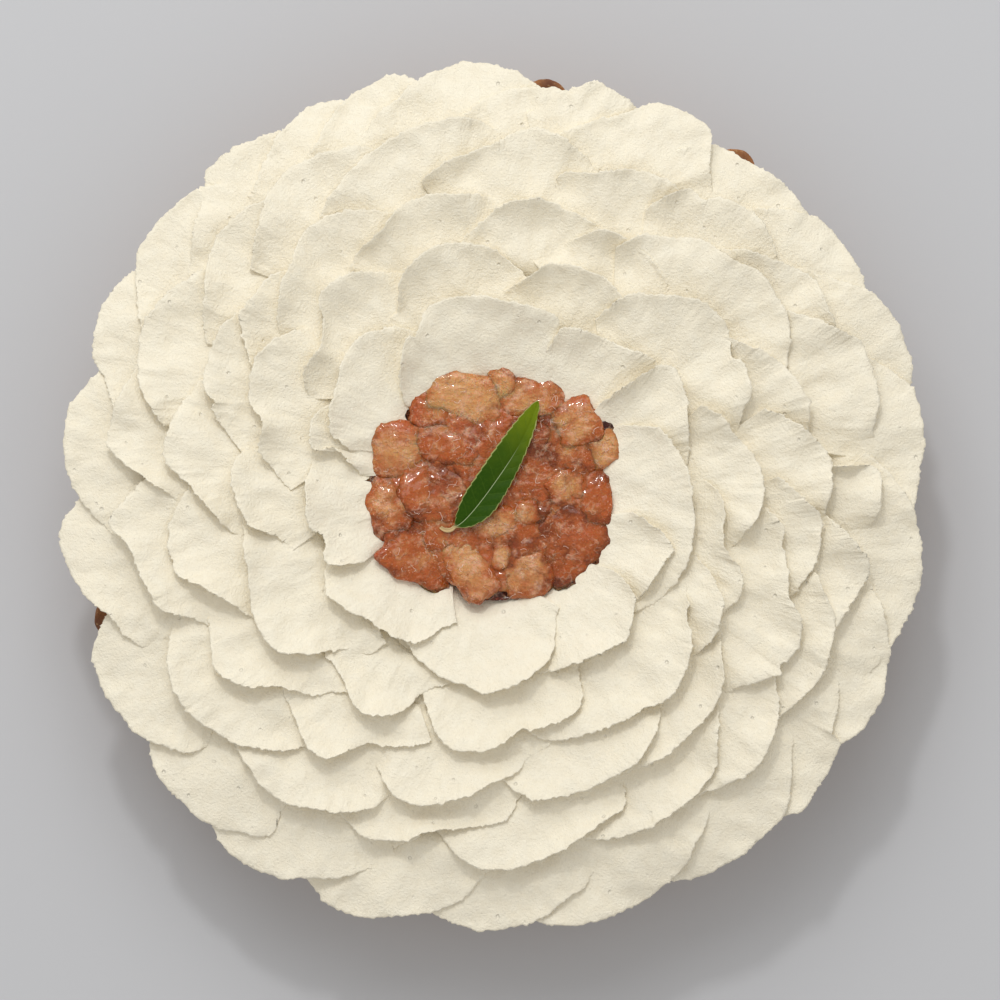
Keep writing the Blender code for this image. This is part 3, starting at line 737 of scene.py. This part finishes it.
chance = random.Random(7)
for ring in PETAL_RINGS:
    sizes = dict(PETAL_SIZES, **ring["sizes"])
    petals = made_by(petal_tree, ring["name"], petal_guide(ring, chance), sizes, whipped_cream)
    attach(petals, "root")
    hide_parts("whipped_cream")


# ---------------------------------------------------------------- Compote
# Diced peach cooked in syrup until soft and glassy, heaped in the cream's bowl. The dice
# lie half sunk in their own jelly, which coats them; their sides are painted redder and
# darker, partly painted shade. In a few places at its edge, in the gaps to the cream, low
# pieces stand as pools of syrup whose near-black colour is painted shadow. Loose pale
# strands of the flesh lie over all of it.

JELLY_MM = (
    (0.0, 46.3), (10.0, 46.3), (20.0, 46.0), (25.0, 45.3), (27.2, 44.2), (28.0, 42.8),
    (27.0, 41.8), (24.6, 40.7), (24.0, 36.0), (21.4, 30.9), (0.0, 30.8),
)
JELLY_ROUNDING = 4
JELLY_STEPS_ROUND = 400
JELLY_SIZES = {
    "Radius": 28.0, "Lumps": 2.2, "Drops": 1.1, "Outline": 3.0, "Upwards": 2.4, "Tan": 0.1,
}
DICE_BLANK = {"Size": (2.0, 2.0, 2.0), "Vertices X": 32, "Vertices Y": 32, "Vertices Z": 12}
DICE_SIZES = {
    "Roundness": 4.0, "Half side": 0.53, "Unevenness": 0.4, "Depth": 8.6, "Slope": 0.2,
    "Lumps": 1.2, "Drops": 0.8, "Jelly and shade on sides": 0.6, "Sunk in jelly": 5.0,
    "Crown": 45.6, "Crown radius": 54.0, "Dip": 0.0039, "Clear of cream": 0.3,
}
# Centre x and y, length, width, turn, height of the top, and how tan the piece is. The
# last four, far from tan, are low pieces in the gaps at the compote's edge, laid as pools
# of syrup and coloured near black as painted shadow of those gaps.
DICE_MM = (
    (-8.0, 26.6, 21.0, 11.6, -14.0, 46.8, 1.1),
    (-16.6, 24.0, 11.0, 11.0, 8.0, 46.2, 0.3),
    (2.2, 30.2, 6.8, 9.0, 10.0, 46.2, 0.85),
    (9.6, 26.2, 17.0, 10.6, -4.0, 46.2, 0.7),
    (19.6, 15.4, 18.0, 20.0, 12.0, 46.2, 0.2),
    (22.0, 19.6, 13.0, 13.0, 22.0, 47.0, 0.65),
    (29.6, 13.0, 9.6, 9.6, 30.0, 46.0, 0.8),
    (-25.6, 12.2, 13.0, 14.6, 2.0, 46.6, 0.75),
    (-12.0, 16.6, 21.0, 14.0, -20.0, 46.2, 0.2),
    (-27.6, -1.6, 13.0, 16.0, 18.0, 46.2, 0.5),
    (-19.4, -15.4, 19.0, 14.6, -24.0, 46.2, 0.2),
    (-5.6, -18.8, 11.0, 18.4, 24.0, 46.8, 0.8),
    (2.4, -15.9, 5.0, 7.0, 0.0, 46.8, 0.8),
    (9.0, -20.8, 12.4, 11.0, 16.0, 46.4, 0.7),
    (19.4, -12.6, 20.0, 17.4, 40.0, 46.0, -0.1),
    (19.6, 2.6, 11.0, 9.6, 20.0, 46.8, 0.6),
    (9.4, 1.0, 13.0, 16.0, -14.0, 45.9, -0.05),
    (9.0, -4.2, 8.0, 7.0, 12.0, 47.0, 0.4),
    (27.0, 0.6, 10.0, 16.0, 4.0, 45.6, 0.05),
    (0.6, -6.9, 12.4, 8.0, 24.0, 46.9, 0.7),
    (-14.2, 2.4, 19.0, 18.0, -8.0, 46.2, 0.25),
    (-3.0, 11.0, 16.0, 16.0, 26.0, 46.1, 0.2),
    (8.6, 13.0, 14.6, 14.6, -12.0, 46.0, 0.3),
    (-10.6, -8.6, 16.0, 12.6, 14.0, 46.0, 0.3),
    (-22.6, 20.4, 5.0, 5.0, 0.0, 43.4, -1.6),
    (30.4, 19.4, 8.0, 6.0, 30.0, 45.0, -1.6),
    (1.4, -24.0, 8.0, 6.4, 8.0, 43.2, -1.6),
    (30.6, 4.0, 5.0, 5.0, 0.0, 43.6, -1.6),
)

PEACH_RED = (0.41, 0.096, 0.018, 1.0)
PEACH_TAN = (0.62, 0.312, 0.116, 1.0)
PEACH_DEEP = (0.20, 0.040, 0.006, 1.0)
PEACH_BLUSH = (0.49, 0.11, 0.045, 1.0)
# Near black: painted shadow of the gaps between the compote and the cream.
PEACH_PAINTED_GAP_SHADOW = (0.05, 0.008, 0.003, 1.0)
# A paler flesh tone that is partly painted highlight of the wet, glassy fruit.
PEACH_MILKY_AND_SHEEN = (0.75, 0.43, 0.27, 1.0)
PEACH_GRAIN = (0.82, 0.50, 0.34, 1.0)
# Painted glints of the wet surface.
PEACH_PAINTED_GLINTS = (0.85, 0.57, 0.41, 1.0)

wet_peach, start = new_material("wet_peach")
place = start.node("ShaderNodeTexCoord", {}, {}, "Object")
tan = start.node("ShaderNodeAttribute", {"attribute_name": "tan"}, {}, "Fac")
mottle = noise(place, 210.0, 4.0, 0.6)
grain = noise(place, 620.0, 3.0, 0.6)
share = ramp_up(tan * 0.85 + mottle * 1.8 + grain * 0.5 + 0.05, 0.0, 1.0)
flesh = mixed(share, PEACH_RED, PEACH_TAN)
deep = ramp_up(noise(place, 140.0, 3.0) + grain * 0.4 - tan * 0.15, -0.05, 0.2)
flesh = mixed(deep, flesh, PEACH_DEEP)
blush = ramp_up(noise(place, 95.0, 2.0), 0.02, 0.2)
flesh = mixed(blush * 0.35, flesh, PEACH_BLUSH)
# Pieces far from tan turn near black: painted shadow in the gaps at the compote's edge.
flesh = mixed(ramp_up(tan, -0.5, -1.0), flesh, PEACH_PAINTED_GAP_SHADOW)
# Pale patches: paler flesh, and partly painted highlight that stands in for the wet sheen.
milky_and_sheen = ramp_up(noise(place, 320.0, 3.0, 0.6) + tan * 0.06, 0.02, 0.26)
flesh = mixed(milky_and_sheen * 0.62, flesh, PEACH_MILKY_AND_SHEEN)
fibre = thin_line(noise(place, 260.0, 2.0), 0.04) * ramp_up(mottle, -0.05, 0.08)
flesh = mixed(fibre * 0.34, flesh, PEACH_GRAIN)
# Tiny pale specks are painted glints of the wet surface; the dark specks are darker dots of flesh.
speck = noise(place, 2000.0, 2.0)
patchy = ramp_up(noise(place, 170.0), -0.1, 0.15)
flesh = mixed(ramp_up(speck, 0.08, 0.24) * patchy * 0.55, flesh, PEACH_PAINTED_GLINTS)
flesh = mixed(ramp_up(speck, -0.04, -0.2) * patchy * 0.45, flesh, PEACH_DEEP)
drops = noise(place, 1300.0, 2.0, 0.6) * 0.9 + noise(place, 420.0, 2.0) + fibre * 0.4
end_material(start, {
    "Base Color": flesh,
    "Roughness": 0.12 + abs(mottle) * 0.3,
    "Subsurface Weight": 0.5,
    "Subsurface Radius": (1.0, 0.3, 0.12),
    "Subsurface Scale": 0.0025,
    "Specular IOR Level": 0.05,
    "Coat Weight": 0.6,
    "Coat Roughness": 0.03,
    "Normal": bumped(drops, 0.0006, 1.0),
})

# Only the jelly's top and its edge are uneven, so that its wall fits the cream's bowl.
jelly_tree, jelly_in = new_tree("jelly", JELLY_SIZES)
x, y, z = parts_of(jelly_in["Guide"].node("GeometryNodeInputPosition", {}, {}))
place = point(x * 1000.0, y * 1000.0, z * 1000.0)
top = ramp_up(z, 0.0418, 0.0436)
rim = ramp_up(z, 0.0406, 0.0420)
lumps = noise(place, 0.2, 2.0) * jelly_in["Lumps"] + noise(place, 0.55, 3.0, 0.55) * jelly_in["Drops"]
spread = 1.0 + rim * noise(place, 0.12, 2.0) * jelly_in["Outline"] / jelly_in["Radius"]
upwards = rim * jelly_in["Upwards"]
place = point(x * spread, y * spread + upwards * 0.001, z + lumps * top * 0.001)
jelly = place.node("GeometryNodeSetPosition", {}, {"Geometry": jelly_in["Guide"], "Position": place})
end_tree(jelly_in, stored(jelly, "tan", jelly_in["Tan"], "FLOAT"))

guide = turned("compote_jelly", rounded(JELLY_MM, JELLY_ROUNDING), JELLY_STEPS_ROUND)
jelly = made_by(jelly_tree, "compote_jelly", guide, JELLY_SIZES, wet_peach)

dice_tree, dice_in = new_tree("peach_dice", DICE_SIZES)
start = dice_in["Guide"]
cube = start.node("GeometryNodeMeshCube", {}, DICE_BLANK, "Mesh")
cube = stored(cube, "cell", start.node("GeometryNodeInputPosition", {}, {}), "FLOAT_VECTOR")
dice = start.node("GeometryNodeInstanceOnPoints", {}, {"Points": start, "Instance": cube})
dice = start.node("GeometryNodeRealizeInstances", {}, {"Geometry": dice})
u, v, w = parts_of(attribute(start, "cell", "FLOAT_VECTOR"))
bent = dice_in["Roundness"]
norm = (abs(u) ** bent + abs(v) ** bent + abs(w) ** bent) ** (1.0 / bent)
seed = attribute(start, "seed")
u = u / norm
v = v / norm
w = w / norm
uneven = noise(point(u * 1.1 + seed * 3.7, v * 1.1, w * 0.7), 1.0, 2.0)
skewed = noise(point(u * 1.1, v * 1.1 + seed * 5.3, w * 0.7), 1.0, 2.0)
along = u * attribute(start, "length") * (dice_in["Half side"] + uneven * dice_in["Unevenness"])
side = v * attribute(start, "width") * (dice_in["Half side"] + skewed * dice_in["Unevenness"])
turn = attribute(start, "turn")
x = attribute(start, "x") + along * cosine(turn) - side * sine(turn)
y = attribute(start, "y") + along * sine(turn) + side * cosine(turn)
z = attribute(start, "top") + (w - 1.0) * dice_in["Depth"] * 0.5
slope = attribute(start, "lean") * along * dice_in["Slope"]
z = z + slope - attribute(start, "tip") * side * dice_in["Slope"]
place = point(x, y, z)
push = noise(place, 0.25, 2.0) * dice_in["Lumps"] + noise(place, 0.75, 3.0, 0.6) * dice_in["Drops"]
x = x + u * push
y = y + v * push
z = z + w * push

# At the edge a piece lies on the innermost petals, and nearer the middle it sinks.
inward = higher_of(dice_in["Crown radius"] - (x * x + y * y) ** 0.5, 0.0)
bed = dice_in["Crown"] - dice_in["Dip"] * inward * inward + dice_in["Clear of cream"]
z = higher_of(z, bed - dice_in["Sunk in jelly"] * ramp_up(inward, 27.0, 31.0))
place = point(x * 0.001, y * 0.001, z * 0.001)
# The sides of each piece are painted redder and darker than its top, and on the least tan pieces nearly
# black: partly the jelly that coats them, partly painted shade.
coated_and_shaded = ramp_up((u * u + v * v) ** 0.5, 0.45, 1.05)
dice = stored(dice, "tan", attribute(start, "tan") - coated_and_shaded * dice_in["Jelly and shade on sides"], "FLOAT")
dice = start.node("GeometryNodeSetPosition", {}, {"Geometry": dice, "Position": place})
end_tree(dice_in, dice)

guide = bpy.data.meshes.new("peach_dice")
guide.from_pydata([(0.0, 0.0, 0.0)] * len(DICE_MM), [], [])
chance = random.Random(11)
names = ("x", "y", "length", "width", "turn", "top", "tan")
columns = dict(zip(names, zip(*DICE_MM)))
columns["turn"] = [math.radians(turn) for turn in columns["turn"]]
columns["seed"] = list(range(len(DICE_MM)))
columns["lean"] = [chance.uniform(-1.0, 1.0) for _ in DICE_MM]
columns["tip"] = [chance.uniform(-1.0, 1.0) for _ in DICE_MM]
for name, column in columns.items():
    guide.attributes.new(name, "FLOAT", "POINT").data.foreach_set("value", column)
dice = made_by(dice_tree, "peach_dice", guide, DICE_SIZES, wet_peach)

FIBRE_SIZES = {"For each square metre": 34000.0, "Bend": 2.4, "Thickness": 0.12}
FIBRE_STEPS = 11
FIBRE_SWEEP = 1.9
FIBRE_SHORTEST = (0.0003, 0.0003, 0.0)
FIBRE_LONGEST = (0.0013, 0.0021, 0.0)
FIBRE_DULL = (0.62, 0.31, 0.20, 1.0)
FIBRE_PALE = (0.90, 0.70, 0.58, 1.0)

pale_fibre, start = new_material("pale_fibre")
place = start.node("ShaderNodeTexCoord", {}, {}, "Object")
end_material(start, {
    "Base Color": mixed(ramp_up(noise(place, 300.0), -0.2, 0.2), FIBRE_DULL, FIBRE_PALE),
    "Roughness": 0.3 + noise(place, 900.0) * 0.3,
    "Specular IOR Level": 0.5,
})

# Bent arcs, scattered in clumps over the upward faces and dropped onto what lies below.
fibre_tree, fibre_in = new_tree("peach_fibres", FIBRE_SIZES)
start = fibre_in["Guide"]
_, _, up = parts_of(start.node("GeometryNodeInputNormal", {}, {}))
clumps = ramp_up(noise(start.node("GeometryNodeInputPosition", {}, {}), 110.0), -0.12, 0.2)
density = fibre_in["For each square metre"] * clumps
settings = {"distribute_method": "RANDOM"}
values = {"Mesh": start, "Selection": up.math("GREATER_THAN", up, 0.4), "Density": density, "Seed": 5}
spots = start.node("GeometryNodeDistributePointsOnFaces", settings, values, "Points")
values = {"Resolution": FIBRE_STEPS, "Radius": 1.0, "Sweep Angle": FIBRE_SWEEP}
strand = start.node("GeometryNodeCurveArc", {"mode": "RADIUS"}, values, "Curve")
values = {0: (0.0, 0.0, 0.0), 1: (0.0, 0.0, 2.0 * math.pi), "Seed": 2}
spin = start.node("FunctionNodeRandomValue", {"data_type": "FLOAT_VECTOR"}, values)
values = {0: FIBRE_SHORTEST, 1: FIBRE_LONGEST, "Seed": 3}
scale = start.node("FunctionNodeRandomValue", {"data_type": "FLOAT_VECTOR"}, values)
values = {"Points": spots, "Instance": strand, "Rotation": spin, "Scale": scale}
strands = start.node("GeometryNodeInstanceOnPoints", {}, values)
strands = start.node("GeometryNodeRealizeInstances", {}, {"Geometry": strands})
x, y, z = parts_of(start.node("GeometryNodeInputPosition", {}, {}))
place = point(x * 1000.0, y * 1000.0, z * 1000.0)
bend = fibre_in["Bend"] * 0.001
place = point(x + noise(place, 0.6, 2.0) * bend, y + noise(place, 0.55, 2.0) * bend, 0.06)
values = {0: start, "Source Position": place, "Ray Direction": (0.0, 0.0, -1.0), "Ray Length": 0.1}
x, y, z = parts_of(start.node("GeometryNodeRaycast", {}, values, "Hit Position"))

# A point past the compote's edge meets nothing, is put at the origin and goes.
values = {"Geometry": strands, "Selection": z.math("LESS_THAN", z, 0.01)}
strands = start.node("GeometryNodeDeleteGeometry", {"domain": "POINT"}, values)
place = point(x, y, z + fibre_in["Thickness"] * 0.0002)
strands = start.node("GeometryNodeSetPosition", {}, {"Geometry": strands, "Position": place})
values = {"Resolution": 5, "Radius": fibre_in["Thickness"] * 0.0005}
section = start.node("GeometryNodeCurvePrimitiveCircle", {"mode": "RADIUS"}, values, "Curve")
values = {"Curve": strands, "Profile Curve": section, "Fill Caps": True}
end_tree(fibre_in, start.node("GeometryNodeCurveToMesh", {}, values))

heap = bmesh.new()
heap.from_mesh(jelly.data)
heap.from_mesh(dice.data)
guide = bpy.data.meshes.new("peach_fibres")
heap.to_mesh(guide)
heap.free()
fibres = made_by(fibre_tree, "peach_fibres", guide, FIBRE_SIZES, pale_fibre)

for piece in (jelly, dice, fibres):
    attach(piece, "root")
    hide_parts("peach_compote")


# ---------------------------------------------------------------- Leaf
# A fresh leaf with its stalk, laid on the compote. It is thin and folded a little along
# its pale midrib, its margin is toothed and pale, and its upper face has a dull shine.

LEAF_BASE_MM = (-10.1, -7.7)
LEAF_TIP_MM = (12.1, 25.4)
LEAF_STALK_MM = 4.4
LEAF_STALK_BEND_MM = 2.4
LEAF_WIDTH_MM = 8.9
LEAF_STALK_WIDTH_MM = 0.9
LEAF_WIDEST = 0.26
LEAF_BOW_MM = 1.95
LEAF_RIB_MM = 1.2
LEAF_ARCH_MM = 1.4
LEAF_FOLD_MM = 0.9
LEAF_THICKNESS_MM = 0.35
LEAF_WAVE_MM = 0.35
LEAF_WAVES = 1.6
LEAF_TEETH = 17.0
LEAF_TOOTH_MM = 0.28
LEAF_VEINS = 11.0
LEAF_VEIN_SLANT = 0.9
LEAF_VEIN_MM = 0.07
LEAF_GROOVE_MM = 0.12
LEAF_GROOVE_WIDTH_MM = 0.35
LEAF_ROWS = 150
LEAF_COLUMNS = 26
LEAF_DARK = (0.022, 0.062, 0.002, 1.0)
LEAF_LIGHT = (0.15, 0.20, 0.004, 1.0)
LEAF_CELLS = (0.06, 0.12, 0.006, 1.0)
LEAF_VEIN_GREEN = (0.10, 0.18, 0.02, 1.0)
LEAF_RIB_GREEN = (0.50, 0.58, 0.32, 1.0)
LEAF_MARGIN = (0.42, 0.42, 0.15, 1.0)
LEAF_STALK_TAN = (0.55, 0.40, 0.20, 1.0)

blade = math.dist(LEAF_BASE_MM, LEAF_TIP_MM)
ahead = ((LEAF_TIP_MM[0] - LEAF_BASE_MM[0]) / blade, (LEAF_TIP_MM[1] - LEAF_BASE_MM[1]) / blade)
stalk = LEAF_STALK_MM / (LEAF_STALK_MM + blade)


def leaf_half_width(share):
    """Half the leaf's width at a share of its length: stalk, round base, long point."""
    narrow = LEAF_STALK_WIDTH_MM / 2.0
    if share <= stalk:
        return narrow
    along = (share - stalk) / (1.0 - stalk)
    if along < LEAF_WIDEST:
        shape = math.sin(along / LEAF_WIDEST * math.pi / 2.0) ** 0.65
    else:
        shape = math.cos((along - LEAF_WIDEST) / (1.0 - LEAF_WIDEST) * math.pi / 2.0) ** 0.6
    tooth = LEAF_TOOTH_MM * ((1.0 - along * LEAF_TEETH) % 1.0) * min(1.0, shape * 2.0)
    return max(narrow * (1.0 - along), LEAF_WIDTH_MM / 2.0 * shape) + tooth


def leaf_point(across, share):
    """A point of the upper face, from one margin to the other and from stalk to tip."""
    along = share * (blade + LEAF_STALK_MM) - LEAF_STALK_MM
    half = leaf_half_width(share)
    level = max(0.0, along / blade)
    side = across * half + LEAF_BOW_MM * math.sin(math.pi * level ** 0.55)
    side += LEAF_RIB_MM * math.sin(math.pi * level * level) * (1.0 - across * across)
    if along < 0.0:
        bend = -along / LEAF_STALK_BEND_MM
        along = -LEAF_STALK_BEND_MM * math.sin(bend) - across * half * math.sin(bend)
        side = across * half * math.cos(bend) - LEAF_STALK_BEND_MM * (1.0 - math.cos(bend))
    vein = math.cos(2.0 * math.pi * (share * LEAF_VEINS - abs(across) * LEAF_VEIN_SLANT))
    z = LEAF_ARCH_MM * math.sin(math.pi * share)
    z += LEAF_FOLD_MM * abs(across) * half / (LEAF_WIDTH_MM / 2.0)
    z += LEAF_WAVE_MM * across * math.sin(2.0 * math.pi * share * LEAF_WAVES)
    z -= LEAF_GROOVE_MM * math.exp(-((across * half / LEAF_GROOVE_WIDTH_MM) ** 2))
    z -= LEAF_VEIN_MM * vein * min(1.0, abs(across) * half)
    x = LEAF_BASE_MM[0] + along * ahead[0] + side * ahead[1]
    y = LEAF_BASE_MM[1] + along * ahead[1] - side * ahead[0]
    return x, y, z


points = []
lay = []
for row in range(LEAF_ROWS + 1):
    for column in range(LEAF_COLUMNS + 1):
        across = 2.0 * column / LEAF_COLUMNS - 1.0
        share = row / LEAF_ROWS
        points.append(leaf_point(across, share))
        lay.append((across, share, leaf_half_width(share)))
lowest = min(z for _, _, z in points)
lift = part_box("leaf")[0].z * 1000.0 + LEAF_THICKNESS_MM - lowest
faces = []
for row in range(LEAF_ROWS):
    for column in range(LEAF_COLUMNS):
        corner = row * (LEAF_COLUMNS + 1) + column
        above = corner + LEAF_COLUMNS + 1
        faces.append((corner, corner + 1, above + 1, above))
blade_mesh = bpy.data.meshes.new("peach_leaf")
blade_mesh.from_pydata([(x * 0.001, y * 0.001, (z + lift) * 0.001) for x, y, z in points], [], faces)
stored_lay = blade_mesh.attributes.new("lay", "FLOAT_VECTOR", "POINT")
stored_lay.data.foreach_set("vector", [value for spot in lay for value in spot])
for face in blade_mesh.polygons:
    face.use_smooth = True

leaf_green, start = new_material("leaf_green")
place = start.node("ShaderNodeTexCoord", {}, {}, "Object")
lay = start.node("ShaderNodeAttribute", {"attribute_name": "lay"}, {}, "Vector")
across, share, half = parts_of(lay)
from_rib = abs(across) * half
cells = noise(place, 1400.0, 3.0, 0.6)
lighter = ramp_up(share + noise(place, 120.0) * 0.4, 0.45, 1.05)
face = mixed(lighter, LEAF_DARK, LEAF_LIGHT)
face = mixed(ramp_up(cells, -0.1, 0.3) * 0.3, face, LEAF_CELLS)
wave = cosine((share * LEAF_VEINS - abs(across) * LEAF_VEIN_SLANT) * (2.0 * math.pi))
vein = ramp_up(wave, 0.9, 1.0) * ramp_up(from_rib, 0.1, 0.6)
face = mixed(vein * 0.12, face, LEAF_VEIN_GREEN)
rib = (1.0 - ramp_up(from_rib, 0.03, 0.14)) * (1.0 - ramp_up(share, 0.5, 0.75))
face = mixed(rib * 0.8, face, LEAF_RIB_GREEN)
edge = ramp_up(abs(across), 0.93, 0.985)
face = mixed(edge * 0.8, face, LEAF_MARGIN)
face = mixed(1.0 - ramp_up(share, 0.08, 0.12), face, LEAF_STALK_TAN)
end_material(start, {
    "Base Color": face,
    "Roughness": 0.5 + cells * 0.2,
    "Specular IOR Level": 0.08,
    "Normal": bumped(cells * 0.4 - vein * 0.5 - rib, 0.00015, 0.8),
})
blade_mesh.materials.append(leaf_green)

leaf = bpy.data.objects.new("peach_leaf", blade_mesh)
bpy.context.scene.collection.objects.link(leaf)
sheet = leaf.modifiers.new("thickness", "SOLIDIFY")
sheet.thickness = LEAF_THICKNESS_MM * 0.001
sheet.offset = -1.0
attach(leaf, "root")
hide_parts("leaf")


# ---------------------------------------------------------------- Table, light and camera
# The tart stands on a plain pale grey table top. A large soft light and a small one, which
# makes the glints, come from the top of the photograph, and the room's light from all
# round. The photograph was taken from straight above.

TABLE_HALF = 6.0
TABLE_TOP = -0.0005
TABLE_GREY = (0.52, 0.52, 0.53, 1.0)

table, start = new_material("table_top")
end_material(start, {"Base Color": TABLE_GREY, "Roughness": 0.5})
corners = [(x * TABLE_HALF, y * TABLE_HALF, TABLE_TOP) for x, y in ((-1, -1), (1, -1), (1, 1), (-1, 1))]
floor = bpy.data.meshes.new("table_top")
floor.from_pydata(corners, [], [(0, 1, 2, 3)])
floor.materials.append(table)
table_top = bpy.data.objects.new("table_top", floor)
bpy.context.scene.collection.objects.link(table_top)

SCENE_MIDDLE = Vector((0.0019, -0.0008, 0.035))
LIGHT_BEARING = 349.0
LIGHT_DISTANCE = 1.7
LIGHT_COLOUR = (0.97, 0.985, 1.0)
ROOM_COLOUR = (1.0, 0.995, 0.985, 1.0)
ROOM_STRENGTH = 0.64


def soft_light(name, elevation, size, power):
    """A square area light that faces the tart."""
    lamp = bpy.data.lights.new(name, "AREA")
    lamp.shape = "SQUARE"
    lamp.size = size
    lamp.energy = power
    lamp.color = LIGHT_COLOUR
    light = bpy.data.objects.new(name, lamp)
    flat = math.cos(math.radians(elevation)) * LIGHT_DISTANCE
    height = math.sin(math.radians(elevation)) * LIGHT_DISTANCE
    turn = math.radians(LIGHT_BEARING)
    light.location = (flat * math.sin(turn), flat * math.cos(turn), height)
    light.rotation_euler = (SCENE_MIDDLE - light.location).to_track_quat("-Z", "Y").to_euler()
    bpy.context.scene.collection.objects.link(light)


soft_light("window_light", elevation=47.0, size=1.3, power=11.8)
soft_light("lamp_light", elevation=52.0, size=0.14, power=5.4)
world = bpy.data.worlds.new("room_light")
world.use_nodes = True
world.node_tree.nodes["Background"].inputs["Color"].default_value = ROOM_COLOUR
world.node_tree.nodes["Background"].inputs["Strength"].default_value = ROOM_STRENGTH
bpy.context.scene.world = world
bpy.context.scene.view_settings.view_transform = "Standard"

# The frame is FRAME_WIDTH across at the mean height of the petals' lips.
CAMERA_HEIGHT = 1.9
LIP_HEIGHT = 0.042
FRAME_WIDTH = 0.266
SENSOR_WIDTH_MM = 36.0
camera = bpy.data.objects.new("camera", bpy.data.cameras.new("camera"))
camera.data.sensor_width = SENSOR_WIDTH_MM
camera.data.lens = SENSOR_WIDTH_MM * (CAMERA_HEIGHT - LIP_HEIGHT) / FRAME_WIDTH
camera.location = (SCENE_MIDDLE.x, SCENE_MIDDLE.y, CAMERA_HEIGHT)
bpy.context.scene.collection.objects.link(camera)
bpy.context.scene.camera = camera
